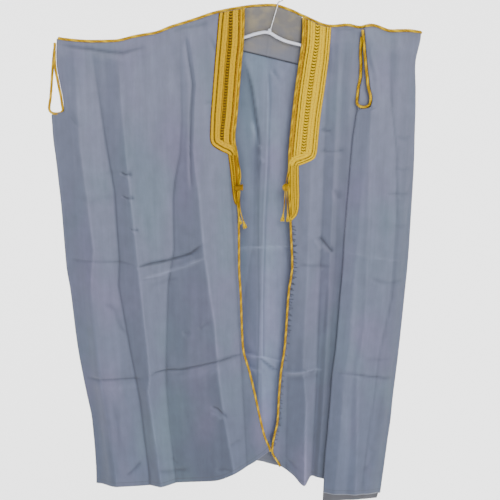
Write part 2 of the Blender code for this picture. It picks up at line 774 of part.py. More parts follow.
def add_tuft(name, place, along, paint, collection):
    """A tuft: a bound head with strands drawn out of its lower end, all one body."""
    shape = bmesh.new()
    bmesh.ops.create_grid(shape, x_segments=TUFT_STRANDS, y_segments=TUFT_STRANDS, size=TUFT_HEAD / 2)
    lower = list(shape.faces)
    made = bmesh.ops.extrude_face_region(shape, geom=lower, use_keep_orig=True)
    raised = [item for item in made["geom"] if isinstance(item, bmesh.types.BMVert)]
    bmesh.ops.translate(shape, verts=raised, vec=(0, 0, TUFT_HEAD_LENGTH))
    bmesh.ops.recalc_face_normals(shape, faces=shape.faces)
    ends = [face for face in shape.faces if face.normal.z < -0.9]
    bmesh.ops.inset_individual(shape, faces=ends, thickness=TUFT_HEAD * 0.03)
    drawn = bmesh.ops.extrude_discrete_faces(shape, faces=ends)["faces"]
    for index, face in enumerate(drawn):
        middle = face.calc_center_median()
        length = TUFT_LENGTH * (0.82 + 0.18 * math.sin(2.4 * index))
        spread = Vector((middle.x * TUFT_SPREAD, middle.y * TUFT_SPREAD, -length))
        bmesh.ops.scale(shape, vec=(0.75, 0.75, 1), verts=face.verts, space=middle_space(middle))
        bmesh.ops.translate(shape, verts=face.verts, vec=spread)
    turn = Vector((0, 0, -1)).rotation_difference(along)
    bmesh.ops.rotate(shape, verts=shape.verts, cent=(0, 0, 0), matrix=turn.to_matrix())
    drop = along * (TUFT_HEAD_LENGTH + GAP)
    bmesh.ops.translate(shape, verts=shape.verts, vec=shifted(place) + drop)
    bmesh.ops.recalc_face_normals(shape, faces=shape.faces)
    mesh = bpy.data.meshes.new(name)
    shape.to_mesh(mesh)
    shape.free()
    obj = bpy.data.objects.new(name, mesh)
    collection.objects.link(obj)
    mesh.materials.append(paint)


def middle_space(middle):
    return Matrix.Translation(-middle)


def build_tie(label, tie, edge_route, paint, collection):
    cord_depth = tie_depth(edge_route, TIE_RADIUS)
    ball_depth = tie_depth(edge_route, BALL_RADIUS)
    tail_depth = tie_depth(edge_route, TUFT_REACH)
    flat = [(x, cord_depth(z), z) for x, z in tie.cord]
    ball_x, ball_z = tie.ball
    ball_y = ball_depth(ball_z)
    over = ball_z + BALL_RADIUS + TIE_END_GAP
    route = smooth_route(flat[:-1] + [(ball_x, ball_y, over + 0.006), (ball_x, ball_y, over)], 0.009)
    add_cord("tie_cord_" + label, route, TIE_RADIUS, paint, collection)
    bpy.ops.mesh.primitive_uv_sphere_add(segments=12, ring_count=8, radius=BALL_RADIUS,
                                         location=shifted((ball_x, ball_y, ball_z)))
    ball = bpy.context.object
    ball.name = ball.data.name = "tie_ball_" + label
    ball.data.materials.append(paint)
    for holder in list(ball.users_collection):
        holder.objects.unlink(ball)
    collection.objects.link(ball)
    for letter, tail in zip("ab", tie.tails):
        points = [(x, tail_depth(z), z) for x, z in tail]
        side = 0.0022 if letter == "a" else -0.0022
        points[0] = (ball_x - side, ball_y, ball_z - BALL_RADIUS - GAP)
        route = smooth_route(points, 0.009)
        add_cord("tie_tail_" + label + "_" + letter, route, TIE_RADIUS, paint, collection)
        along = (Vector(route[-1]) - Vector(route[-2])).normalized()
        add_tuft("tie_tuft_" + label + "_" + letter, route[-1], along, paint, collection)


def build_hanger(plastic, steel, collection):
    arms = [(x, 0.0, z) for x, z in HANGER_ARMS]
    add_cord("hanger_arms", arms, HANGER_RADIUS, plastic, collection, 3)
    middle_x, middle_z = -NECK_SHIFT, -HOOK_BEND_RADIUS
    reach = HOOK_BEND_RADIUS + HOOK_WIRE_RADIUS
    route = [(HOOK_LOW[0], 0.0, HOOK_LOW[1])]
    for step in range(HOOK_STEPS + 1):
        angle = math.radians(-80 + 275 * step / HOOK_STEPS)
        route.append((middle_x + reach * math.cos(angle), 0.0, middle_z + reach * math.sin(angle)))
    add_cord("hanger_hook", route, HOOK_WIRE_RADIUS, steel, collection)


def build_all():
    clear_scene()
    parts = new_collection("bisht_cloak")
    cloth = material("cloak_cloth", CLOTH_COLOUR, 0.75)
    facing = material("yoke_cloth", YOKE_COLOUR, 0.8)
    gold = material("gold_braid", GOLD_COLOUR, 0.38, 0.6)
    cord = material("gold_cord", GOLD_COLOUR, 0.32, 0.7)
    plastic = material("hanger_plastic", PLASTIC_COLOUR, 0.4)
    steel = material("hook_steel", STEEL_COLOUR, 0.3, 1.0)
    left = build_front_left(cloth, parts)
    right = build_front_right(cloth, parts)
    back = build_back(cloth, parts)
    build_yoke(back, facing, parts)
    for label, panel in (("left", left), ("right", right)):
        build_braid("band_" + label, panel, BAND_ROWS, BAND_RELIEF, gold, parts)
        build_braid("strip_" + label, panel, STRIP_ROWS, STRIP_RELIEF, gold, parts)
    build_top_cords(left, right, back, cord, parts)
    edge_left = build_front_cord("front_cord_left", left, cord, parts)
    edge_right = build_front_cord("front_cord_right", right, cord, parts)
    slit = SLIT_ROW
    build_hand_cord("hand_cord_left", column(left, -2, 0, slit), column(left, -3, 0, slit),
                    column(back, 0, 0, slit), column(back, 1, 0, slit),
                    lambda x, z: panel_depth(back, 0, 4, x, z), cord, parts)
    build_hand_cord("hand_cord_right", column(back, -2, 0, slit), column(back, -3, 0, slit),
                    column(right, -1, 0, slit), column(right, -2, 0, slit),
                    lambda x, z: panel_depth(right, -4, None, x, z), cord, parts)
    build_tie("left", TIE_LEFT, edge_left, cord, parts)
    build_tie("right", TIE_RIGHT, edge_right, cord, parts)
    build_hanger(plastic, steel, parts)


build_all()
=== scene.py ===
import math

import bmesh
import bpy
import numpy as np
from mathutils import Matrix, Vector


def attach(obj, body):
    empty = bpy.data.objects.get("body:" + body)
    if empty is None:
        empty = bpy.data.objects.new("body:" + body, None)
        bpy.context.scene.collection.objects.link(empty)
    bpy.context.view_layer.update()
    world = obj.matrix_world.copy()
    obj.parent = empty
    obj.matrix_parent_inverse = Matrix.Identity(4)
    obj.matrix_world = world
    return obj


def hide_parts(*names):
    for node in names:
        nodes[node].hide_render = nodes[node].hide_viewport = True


# Bisht on its hanger. Metres, +Z up, front towards -Y, origin inside the bend of the hook.
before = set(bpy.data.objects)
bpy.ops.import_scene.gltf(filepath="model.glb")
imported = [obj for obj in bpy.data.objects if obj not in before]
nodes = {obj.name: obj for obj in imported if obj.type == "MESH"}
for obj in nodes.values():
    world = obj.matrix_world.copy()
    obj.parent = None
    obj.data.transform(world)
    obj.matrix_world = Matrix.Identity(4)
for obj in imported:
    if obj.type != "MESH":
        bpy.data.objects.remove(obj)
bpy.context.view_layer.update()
bpy.ops.object.select_all(action="DESELECT")
print("frame loaded,", len(nodes), "nodes")

mm = 0.001
neckShift = -0.018  # the cloak's middle from the hook
clothWall = 0.0014
gap = 0.00035
seamHalf = clothWall / 2 + gap / 2

view = {"target": (-0.071, 0.0, -0.725), "distance": 2.4, "pitch": 18.0, "focalPixels": 835.0, "frame": 500}


def putIn(name, data):
    item = bpy.data.objects.new(name, data)
    bpy.context.scene.collection.objects.link(item)
    return item


def makeCamera():
    data = bpy.data.cameras.new("camera")
    data.sensor_fit = "HORIZONTAL"
    data.sensor_width = 36.0
    data.lens = view["focalPixels"] * 36.0 / view["frame"]
    data.clip_start = 0.05
    data.clip_end = 900
    camera = putIn("camera", data)
    pitch = math.radians(view["pitch"])
    away = Vector((0, -math.cos(pitch), math.sin(pitch)))
    camera.location = Vector(view["target"]) + away * view["distance"]
    camera.rotation_euler = (math.pi / 2 - pitch, 0, 0)
    bpy.context.scene.camera = camera


makeCamera()
print("camera set")

# The cloak's outline by height, from its middle, in millimetres
outline = {
    "z": (-50, -130, -200, -270, -330, -400, -450, -520, -600, -690, -770, -850, -1020, -1110, -1190, -1270,
          -1330, -1375, -1430, -1540),
    "leftSide": (-565, -567, -578, -588, -595, -595, -592, -589, -586, -585, -584, -577, -568, -559, -549,
                 -539,
                 -537, -536, -536, -540),
    "leftEdge": (-72, -74, -81, -87, -92, -99, -91, -86, -87, -87, -87, -83, -77, -56, -39, -23, -9, 7, 9,
                 11),
    "rightEdge": (91, 90, 82, 73, 67, 61, 58, 58, 62, 67, 71, 62, 53, 42, 37, 34, 23, 18, 43, 48),
    "rightFold": (396, 400, 391, 396, 399, 401, 403, 404, 404, 404, 403, 400, 393, 388, 383, 380, 375, 372,
                  368, 360),
    "flapSide": (246, 246, 244, 242, 236, 228, 225, 222, 218, 215, 213, 209, 201, 193, 190, 186, 183, 180,
                 178, 176),
}
topLine = {
    "x": (-580, -544, -473, -414, -357, -299, -265, -199, -142, -70, -31, 6, 46, 88, 161, 207, 236, 267, 320,
          360, 410),
    "z": (-132, -139, -144, -143, -131, -121, -108, -88, -70, -57, -53, -52, -62, -80, -105, -102, -108,
          -102,
          -117, -116, -122),
}
hemLines = {
    "frontLeft": ((-545, -480, -340, -274, -163, -103, -52, 8),
                  (-1498, -1500, -1498, -1488, -1477, -1452, -1424, -1375)),
    "frontRight": ((45, 82, 117, 139, 175, 260, 360), (-1430, -1459, -1494, -1463, -1472, -1492, -1528)),
    "back": ((-545, -480, -220, -163, -53, 37, 83, 175, 260, 360),
             (-1498, -1510, -1507, -1466, -1424, -1449, -1459, -1462, -1492, -1528)),
    "turnedFront": ((176, 296, 346, 372), (-1551, -1546, -1548, -1530)),
    "turnedBack": ((176, 296, 372), (-1518, -1522, -1529)),
    "fold": ((340, 410), (-1529, -1529)),
}
hollow = {
    "below": (0, 42, 118, 230, 700, 1200, 1500),
    "front": (0.9, 6.1, 6.1, 12, 13, 14, 15),
    "back": (0.9, 7.5, 7.5, 12, 14, 16, 18),
    "neckFront": (3.4, 8.8, 8.8, 12, 13, 14, 15),
    "neckBack": (4.4, 8.8, 8.8, 12, 14, 16, 18),
}
handGape = 0.0074
handLength = {"left": 0.208, "right": 0.215}
turnHalf = 0.0015
foldInset = 0.0072
innerInset = 0.0026
hiddenDrop = 0.0028  # how far a layer that lies under another ends below the top edge

# Pressed pleats: lines down the cloth and how far the cloth stands out there, in millimetres. It runs flat
# from one line to the next.
pleats = {
    "front": (
        {"z": (-100, -1560), "x": (-548, -524), "out": (0.5, 2.0)},
        {"z": (-150, -430, -720, -840, -950, -1150, -1460), "x": (-520, -517, -498, -514, -512, -500, -472),
         "out": (1.5, 4.5, 6.0, 5.5, 6.5, 7.0, 8.0)},
        {"z": (-163, -431, -493, -544, -750, -830, -1040, -1200, -1300, -1460),
         "x": (-474, -446, -438, -432, -428, -434, -408, -386, -380, -368),
         "out": (-1, -3, -3.5, -4, -4, -3.5, -3, -3, -3, -2)},
        {"z": (-163, -431, -646, -817, -1016, -1121, -1165, -1300, -1479),
         "x": (-405, -394, -381, -371, -357, -353, -360, -347, -332),
         "out": (4.0, 7.5, 10.5, 11.0, 11.5, 12.0, 12.5, 13.5, 13.0)},
        {"z": (-130, -349, -445, -520, -573, -720, -827, -1033, -1148, -1301, -1479),
         "x": (-238, -238, -246, -262, -268, -270, -290, -302, -306, -299, -285),
         "out": (1.0, 1.5, 0.5, -1.0, -2.5, -4, -4, -4.5, -4, -3, -1.5)},
        {"z": (-112, -255, -327, -431, -573, -720, -952, -1115, -1239, -1432),
         "x": (-214, -197, -203, -208, -193, -184, -156, -146, -132, -103),
         "out": (3.5, 6.0, 5.5, 6.5, 9.5, 11, 11.5, 12.0, 12.5, 12.0)},
        {"z": (-100, -1460), "x": (-128, -60), "out": (-1.0, -1.0)},
        {"z": (-100, -1500), "x": (60, 60), "out": (0, 0)},
        {"z": (-100, -1100, -1200, -1441), "x": (126, 106, 117, 119), "out": (1.0, 4.0, 8.0, 11)},
        {"z": (-100, -1100, -1231, -1441), "x": (156, 148, 145, 140), "out": (-1.0, -2.0, -2.0, -0.5)},
        {"z": (-100, -1100, -1266, -1460), "x": (186, 172, 167, 159), "out": (2.5, 3.5, 4.0, 4.5)},
        {"z": (-100, -700, -1100, -1460), "x": (198, 192, 183, 171), "out": (1.5, 1.0, 1.5, 2.5)},
        {"z": (-100, -700, -1100, -1460), "x": (222, 216, 212, 202), "out": (2.0, 3.0, 4.0, 5.0)},
        {"z": (-100, -1500), "x": (262, 250), "out": (0, 0)},
    ),
    "back": (
        {"z": (-100, -1560), "x": (-548, -524), "out": (0.0, 1.0)},
        {"z": (-150, -700, -1500), "x": (-480, -455, -418), "out": (0.5, 6.0, 8.0)},
        {"z": (-150, -700, -1500), "x": (-400, -378, -342), "out": (0, -1.5, 0.0)},
        {"z": (-150, -700, -1500), "x": (-305, -285, -250), "out": (1.0, 7.5, 9.0)},
        {"z": (-150, -700, -1500), "x": (-215, -200, -172), "out": (0, -1.0, 0.5)},
        {"z": (-110, -700, -1500), "x": (-145, -130, -108), "out": (0.5, 6.0, 8.0)},
        {"z": (-191, -403, -654, -884, -1061, -1400), "x": (-64, -25, -30, -26, -29, -34),
         "out": (-1.5, -4.0, -4.0, -4.0, -4.0, -3.5)},
        {"z": (-197, -367, -654, -766, -1400), "x": (-7, -3, -13, -18, -12),
         "out": (1.5, -0.5, -0.5, -0.5, 0.0)},
        {"z": (-202, -353, -580, -759, -1400), "x": (41, 49, 40, 43, 44), "out": (1.0, 2.5, 3.0, 3.0, 3.0)},
        {"z": (-110, -700, -1500), "x": (122, 116, 105), "out": (0.5, 6.5, 8.5)},
        {"z": (-150, -700, -1500), "x": (200, 185, 168), "out": (0, -1.0, 0.0)},
        {"z": (-150, -700, -1500), "x": (278, 258, 236), "out": (0.5, 7.5, 9.0)},
        {"z": (-150, -1500), "x": (345, 318), "out": (0, 0.5)},
    ),
    "flap": (
        {"z": (-100, -1560), "x": (236, 180), "out": (0, 0.3)},
        {"z": (-119, -429, -947, -1092, -1452), "x": (268, 276, 284, 268, 278),
         "out": (2.2, 4.4, 4.6, 4.4, 5.0)},
        {"z": (-116, -293, -429, -642, -868, -1026, -1191, -1434),
         "x": (316, 328, 348, 362, 358, 333, 321, 300),
         "out": (-0.4, -1.4, -1.8, -1.8, -1.6, -1.4, -1.0, -0.6)},
        {"z": (-116, -1500), "x": (388, 354), "out": (3.0, 3.6)},
    ),
}
# Creases: a path over the cloth as (x, z) in millimetres, how far it stands out, its half width, whether it
# is pressed sharp, and the share of its length over which each end fades
creases = {
    "front": (
        {"path": ((-581, -752), (-483, -756), (-420, -758), (-378, -765)), "out": -1.4, "wide": 9,
         "sharp": True},
        {"path": ((-385, -772), (-340, -762), (-291, -754), (-250, -742), (-222, -730), (-187, -700)),
         "out": -4.6,
         "wide": 8, "sharp": True, "fade": 0.22},
        {"path": ((-374, -806), (-313, -794), (-254, -774), (-180, -742)), "out": 3.4, "wide": 11,
         "sharp": True},
        {"path": ((-345, -830), (-300, -815), (-260, -806)), "out": -1.6, "wide": 12},
        {"path": ((-552, -1130), (-470, -1130), (-410, -1128), (-372, -1124)), "out": -2.2, "wide": 10,
         "sharp": True},
        {"path": ((-362, -1122), (-335, -1104), (-298, -1100), (-263, -1098), (-210, -1085), (-152, -1068),
                  (-80, -1049)),
         "out": -3.0, "wide": 10, "sharp": True, "fade": 0.1},
        {"path": ((-545, -1158), (-455, -1156), (-380, -1150)), "out": 1.4, "wide": 18},
        {"path": ((-280, -1128), (-200, -1108), (-120, -1082)), "out": 1.6, "wide": 18},
        {"path": ((-563, -150), (-520, -157), (-477, -163), (-430, -170), (-393, -172), (-331, -156)),
         "out": -2.2,
         "wide": 8, "sharp": True},
        {"path": ((-470, -182), (-430, -190), (-380, -188)), "out": 0.8, "wide": 12},
        {"path": ((-224, -130), (-207, -255), (-213, -327), (-217, -431), (-216, -545)), "out": -2.0,
         "wide": 6, "sharp": True,
         "fade": 0.12},
        {"path": ((-262, -120), (-236, -108), (-190, -103), (-160, -92)), "out": -1.8, "wide": 8},
        {"path": ((-412, -493), (-398, -500), (-380, -499)), "out": -2.9, "wide": 8, "sharp": True},
        {"path": ((-412, -560), (-395, -568), (-376, -566)), "out": -2.6, "wide": 8, "sharp": True},
        {"path": ((-470, -500), (-425, -492), (-395, -498)), "out": -1.0, "wide": 12},
        {"path": ((-540, -558), (-505, -580), (-470, -566), (-430, -566)), "out": -1.0, "wide": 14},
        {"path": ((-393, -655), (-380, -661), (-368, -658)), "out": -2.0, "wide": 8, "sharp": True},
        {"path": ((-545, -335), (-530, -356), (-512, -372)), "out": -1.2, "wide": 9},
        {"path": ((-486, -880), (-450, -905), (-437, -960), (-420, -985)), "out": -2.0, "wide": 11},
        {"path": ((-252, -973), (-240, -978), (-228, -975)), "out": -1.6, "wide": 11},
        {"path": ((-205, -965), (-180, -945), (-168, -935)), "out": -1.4, "wide": 9},
        {"path": ((-170, -1215), (-152, -1222), (-132, -1244), (-122, -1256)), "out": -2.6, "wide": 9,
         "sharp": True},
        {"path": ((-178, -1240), (-158, -1246), (-140, -1262)), "out": 1.6, "wide": 10},
        {"path": ((-118, -1352), (-96, -1340), (-82, -1332)), "out": -2.2, "wide": 10},
        {"path": ((-440, -1462), (-408, -1430), (-392, -1410)), "out": -1.8, "wide": 9, "sharp": True},
        {"path": ((-505, -1250), (-500, -1350), (-488, -1480)), "out": 1.6, "wide": 9},
        {"path": ((-470, -1190), (-462, -1290), (-458, -1420)), "out": -1.6, "wide": 14},
        {"path": ((-345, -1440), (-300, -1446), (-240, -1438)), "out": -2.6, "wide": 13},
        {"path": ((-300, -1395), (-290, -1410), (-276, -1420)), "out": -1.2, "wide": 9},
        {"path": ((-160, -1440), (-132, -1434), (-105, -1440)), "out": -2.0, "wide": 11},
        {"path": ((-165, -118), (-140, -180), (-136, -260), (-133, -300)), "out": -1.4, "wide": 9},
        {"path": ((-180, -305), (-150, -300), (-130, -303)), "out": -1.6, "wide": 9},
        {"path": ((134, -434), (167, -437), (208, -431)), "out": -1.2, "wide": 8, "sharp": True},
        {"path": ((136, -452), (170, -456), (206, -448)), "out": 0.7, "wide": 12},
        {"path": ((138, -374), (154, -381), (170, -377)), "out": -1.6, "wide": 7, "sharp": True},
        {"path": ((140, -682), (150, -688), (162, -702), (184, -728)), "out": -4.2, "wide": 8,
         "sharp": True},
        {"path": ((126, -688), (140, -704), (150, -722)), "out": 2.2, "wide": 10},
        {"path": ((82, -762), (125, -768), (180, -770)), "out": -2.6, "wide": 10},
        {"path": ((40, -1104), (82, -1106), (127, -1098), (168, -1095)), "out": 2.6, "wide": 7,
         "sharp": True},
        {"path": ((44, -1122), (90, -1126), (160, -1114)), "out": -1.8, "wide": 12},
        {"path": ((178, -542), (190, -556), (196, -572)), "out": -1.8, "wide": 10},
        {"path": ((160, -112), (197, -110), (229, -108)), "out": -1.6, "wide": 8},
        {"path": ((172, -828), (168, -900), (165, -985)), "out": -1.4, "wide": 8},
        {"path": ((160, -152), (150, -210), (140, -260)), "out": -1.2, "wide": 10},
        {"path": ((60, -1400), (80, -1418), (96, -1440)), "out": -2.4, "wide": 10},
    ),
    "back": (
        {"path": ((-540, -752), (-300, -742), (-60, -720), (120, -724), (340, -740)), "out": 1.8, "wide": 10,
         "sharp": True},
        {"path": ((-545, -1130), (-300, -1110), (-60, -1060), (60, -1090), (340, -1110)), "out": 2.0,
         "wide": 10,
         "sharp": True},
        {"path": ((-29, -1065), (1, -1091), (35, -1118)), "out": -2.0, "wide": 8, "sharp": True},
        {"path": ((-60, -1102), (-30, -1112), (-12, -1124)), "out": 2.0, "wide": 9},
        {"path": ((-44, -350), (-30, -420), (-18, -436)), "out": 2.2, "wide": 9, "sharp": True},
        {"path": ((-64, -191), (-46, -270), (-30, -380), (-26, -520)), "out": -2.6, "wide": 8, "sharp": True,
         "fade": 0.15},
        {"path": ((-5, -205), (-2, -300), (-6, -480), (-13, -650), (-17, -900), (-16, -1100)), "out": 1.9,
         "wide": 6,
         "sharp": True, "fade": 0.1},
        {"path": ((-30, -448), (-22, -462), (-12, -470)), "out": 3.0, "wide": 8},
        {"path": ((2, -216), (18, -236), (32, -262)), "out": 1.4, "wide": 9},
        {"path": ((-420, -420), (-360, -440), (-300, -430)), "out": 2.0, "wide": 14},
        {"path": ((-250, -560), (-200, -590), (-130, -580)), "out": -2.2, "wide": 12},
        {"path": ((120, -520), (180, -545), (240, -535)), "out": -2.0, "wide": 12},
        {"path": ((-360, -890), (-320, -930), (-300, -1000)), "out": -2.0, "wide": 13},
        {"path": ((150, -900), (200, -940), (230, -1010)), "out": 2.4, "wide": 13},
        {"path": ((-470, -1250), (-440, -1330), (-430, -1440)), "out": -2.2, "wide": 14},
        {"path": ((-180, -1220), (-150, -1300), (-120, -1400)), "out": 2.2, "wide": 13},
        {"path": ((-540, -170), (-430, -186), (-320, -168), (-220, -140)), "out": -2.0, "wide": 9,
         "sharp": True},
        {"path": ((150, -150), (240, -156), (330, -150)), "out": -1.6, "wide": 9, "sharp": True},
    ),
    "flap": (
        {"path": ((208, -722), (245, -728), (283, -737), (330, -744), (385, -752)), "out": 0.9, "wide": 7,
         "sharp": True},
        {"path": ((291, -800), (320, -812), (350, -818), (392, -808)), "out": -2.2, "wide": 10},
        {"path": ((195, -1100), (245, -1103), (320, -1116), (378, -1123)), "out": -2.2, "wide": 9,
         "sharp": True},
        {"path": ((290, -1054), (332, -1060), (370, -1056)), "out": -1.4, "wide": 9},
        {"path": ((340, -393), (369, -398), (390, -392)), "out": -1.6, "wide": 10},
        {"path": ((340, -480), (371, -485), (392, -480)), "out": -1.5, "wide": 9},
        {"path": ((325, -550), (372, -556), (394, -550)), "out": -2.2, "wide": 8},
        {"path": ((346, -644), (369, -649), (388, -646)), "out": -1.3, "wide": 8},
        {"path": ((310, -1345), (330, -1372), (318, -1410), (292, -1440)), "out": -1.7, "wide": 11},
        {"path": ((345, -1170), (340, -1260), (328, -1350)), "out": -1.2, "wide": 14},
        {"path": ((252, -132), (262, -190), (280, -250)), "out": -0.8, "wide": 8},
        {"path": ((262, -150), (285, -230), (298, -330)), "out": 0.9, "wide": 9},
        {"path": ((196, -930), (225, -936), (250, -930)), "out": 0.8, "wide": 12},
        {"path": ((186, -1240), (210, -1248), (230, -1244)), "out": 1.0, "wide": 12},
        {"path": ((300, -112), (330, -122), (372, -120)), "out": -1.0, "wide": 7},
    ),
}
# Broad soft painted shade and painted light between two lines down the cloth
shadeZones = {
    "front": (
        {"z": (-150, -700, -1100, -1460), "from": (-240, -270, -306, -285), "to": (-206, -186, -148, -100),
         "tone": (0, -0.03, -0.10, -0.14), "soft": 12},
        {"z": (-150, -700, -1100, -1460), "from": (196, 178, 156, 145), "to": (300, 300, 300, 300),
         "tone": (-0.04, -0.12, -0.26, -0.32), "soft": 9},
        {"z": (-300, -700, -1100, -1460), "from": (-470, -452, -420, -372), "to": (-398, -376, -360, -334),
         "tone": (0, -0.03, -0.04, -0.06), "soft": 8},
    ),
    "back": (
        {"z": (-200, -403, -700, -1200, -1400), "from": (-62, -40, -44, -120, -120),
         "to": (-7, -4, -14, -17, -14),
         "tone": (-0.03, -0.20, -0.19, -0.18, -0.10), "soft": 5},
        {"z": (-200, -353, -700, -1200, -1400), "from": (38, 47, 42, 43, 44),
         "to": (120, 120, 120, 120, 120),
         "tone": (-0.08, -0.10, -0.05, -0.03, -0.03), "soft": 6},
    ),
    "flap": (
        {"z": (-330, -700, -1460), "from": (200, 190, 150), "to": (262, 270, 266),
         "tone": (0.12, 0.27, 0.24), "soft": 24},
        {"z": (-150, -700, -1460), "from": (352, 362, 322), "to": (420, 430, 400),
         "tone": (-0.08, -0.13, -0.10), "soft": 22},
    ),
}
weave = {"across": 0.0038, "down": 0.0046, "coarser": 1.15, "coarserDown": 1.25, "behind": 0.0092,
         "softenPleat": 0.0024, "pleatStart": 0.07, "sharpGain": 1.5, "softGain": 0.8, "sharpWidth": 0.62}
# The panels' widths and drop, and the stretch of the back that is seen through the opening
panelCut = {"left": 0.50, "right": 0.33, "back": 0.97, "turnedFront": 0.17, "turnedBack": 0.15, "drop": 1.42,
            "seenFrom": 0.44, "seenTo": 0.67, "neck": (-0.066, 0.085)}
# How strongly press folds and pleat lines are shaded, and half of their widths in millimetres
pressShade = {"sharp": 0.17, "soft": 0.08, "sharpHalf": 3.4, "softHalf": 0.55, "line": 0.38, "lineHalf": 3.3,
              "full": 9}
slopeShade = {"gain": 3.0, "lowerGain": 1.6, "lowerFrom": -0.85, "lowerOver": 0.45, "steep": 1.3,
              "bend": 0.0035,
              "least": -0.22, "most": 0.28}


def smoothRead(at, places, values):
    # reads a table along a smooth line that never swings past its own points
    places = np.asarray(places, float)
    values = np.asarray(values, float)
    if places[0] > places[-1]:
        places, values = places[::-1], values[::-1]
    if len(places) < 3:
        return np.interp(at, places, values)
    run = np.diff(places)
    slope = np.diff(values) / run
    tilt = np.zeros(len(places))
    tilt[0], tilt[-1] = slope[0], slope[-1]
    same = slope[:-1] * slope[1:] > 0
    tilt[1:-1] = np.where(same, 2 * slope[:-1] * slope[1:] / np.where(same, slope[:-1] + slope[1:], 1), 0)
    at = np.clip(at, places[0], places[-1])
    low = np.clip(np.searchsorted(places, at, side="right") - 1, 0, len(run) - 1)
    t = (at - places[low]) / run[low]
    return ((2 * t ** 3 - 3 * t ** 2 + 1) * values[low] + (t ** 3 - 2 * t ** 2 + t) * run[low] * tilt[low]
            + (3 * t ** 2 - 2 * t ** 3) * values[low + 1] + (t ** 3 - t ** 2) * run[low] * tilt[low + 1])


def outlineX(name, z):
    return smoothRead(z / mm, outline["z"], outline[name]) * mm


def topZ(x):
    return smoothRead(x / mm, topLine["x"], topLine["z"]) * mm


def hemZ(name, x):
    places, heights = hemLines[name]
    return smoothRead(x / mm, places, heights) * mm


def ease(value):
    value = np.clip(value, 0.0, 1.0)
    return value * value * (3 - 2 * value)


def readDown(line, key, z):
    # a line's own value at each height
    return np.interp(-z / mm, [-v for v in line["z"]], line[key])


def pleatOut(lines, x, z):
    # accordion of flat strips between the lines, a little rounded at each line
    total = np.zeros_like(x)
    reach = weave["softenPleat"]
    for offset, weight in ((-1, 0.22), (-0.4, 0.28), (0.4, 0.28), (1, 0.22)):
        at = x + offset * reach
        places = [readDown(line, "x", z) * mm for line in lines]
        heights = [readDown(line, "out", z) * mm for line in lines]
        value = heights[0].copy()
        for here in range(len(lines) - 1):
            span = np.maximum(places[here + 1] - places[here], 1e-4)
            share = np.clip((at - places[here]) / span, 0, 1)
            onSlope = heights[here] + (heights[here + 1] - heights[here]) * share
            value = np.where(at >= places[here], onSlope, value)
        total += value * weight
    return total


def nearCrease(mark, x, z):
    # how far each point is from a crease's path, and its place along the path as a share
    path = np.array(mark["path"], float) * mm
    best = np.full_like(x, 9.0)
    along = np.zeros_like(x)
    done = 0.0
    for start, stop in zip(path[:-1], path[1:]):
        run = stop - start
        length = math.hypot(*run)
        t = np.clip(((x - start[0]) * run[0] + (z - start[1]) * run[1]) / length ** 2, 0, 1)
        away = np.hypot(x - start[0] - run[0] * t, z - start[1] - run[1] * t)
        closer = away < best
        best = np.where(closer, away, best)
        along = np.where(closer, done + t * length, along)
        done += length
    return best, along / done


def creaseOut(marks, x, z):
    total = np.zeros_like(x)
    for mark in marks:
        best, share = nearCrease(mark, x, z)
        fade = mark.get("fade", 0.3)
        wide = mark["wide"] * mm * (0.85 + 0.3 * np.sin(7 * share + mark["wide"]))
        if mark.get("sharp"):
            shape = np.exp(-(np.sqrt(best ** 2 + (1.1 * mm) ** 2) - 1.1 * mm) / (wide * weave["sharpWidth"]))
        else:
            shape = np.exp(-((best / wide) ** 2))
        strength = ease(share / fade + 0.15) * ease((1 - share) / fade + 0.15)
        gain = weave["sharpGain" if mark.get("sharp") else "softGain"]
        total += mark["out"] * mm * gain * strength * shape
    return total


def foldShade(kind, x, z):
    # painted shade in a pressed trough, painted light on a pressed ridge, with the thin lines of the pleats
    total = np.zeros_like(x)
    for mark in creases[kind]:
        best, share = nearCrease(mark, x, z)
        ends = ease(share / 0.2 + 0.1) * ease((1 - share) / 0.2 + 0.1)
        if mark.get("sharp"):
            weight, half = pressShade["sharp"], pressShade["sharpHalf"]
        else:
            weight, half = pressShade["soft"], pressShade["softHalf"] * mark["wide"]
        total += weight * mark["out"] * ends * np.exp(-((best / (half * mm)) ** 2))
    lines = pleats[kind]
    for before, line, after in zip(lines, lines[1:], lines[2:]):
        at = [readDown(item, "out", z) for item in (before, line, after)]
        place = readDown(line, "x", z) * mm
        peak = np.clip((at[1] - (at[0] + at[2]) / 2) / pressShade["full"], -1, 1)
        spread = np.exp(-(((x - place) / (pressShade["lineHalf"] * mm)) ** 2))
        total += pressShade["line"] * peak * spread * ease((-0.12 - z) / 0.2)
    for zone in shadeZones[kind]:
        first, last = (readDown(zone, side, z) * mm for side in ("from", "to"))
        soft = zone["soft"] * mm
        total += readDown(zone, "tone", z) * ease((x - first) / soft + 0.5) * ease((last - x) / soft + 0.5)
    return np.clip(0.5 + total, 0, 1)


def settle(x, z, seed):
    # the slight unevenness of hung cloth, longer down the cloth than across it
    value = np.sin(x * 61 + z * 4.1 + seed) * np.sin(z * 9.7 + x * 13 + seed * 2.3)
    value += 0.6 * np.sin(x * 23 - z * 15.3 + seed * 1.7) * np.sin(z * 21.3 - x * 8 + seed)
    value += 0.35 * np.sin(x * 141 + z * 3.3 + 2.1 * np.sin(z * 11 + seed))
    return value * 0.45 * mm


def gape(below, length):
    inside = (below > 0) & (below < length)
    share = np.clip(below / length, 0, 1)
    return seamHalf + np.where(inside, handGape * np.sin(math.pi * share) ** 0.7, 0)


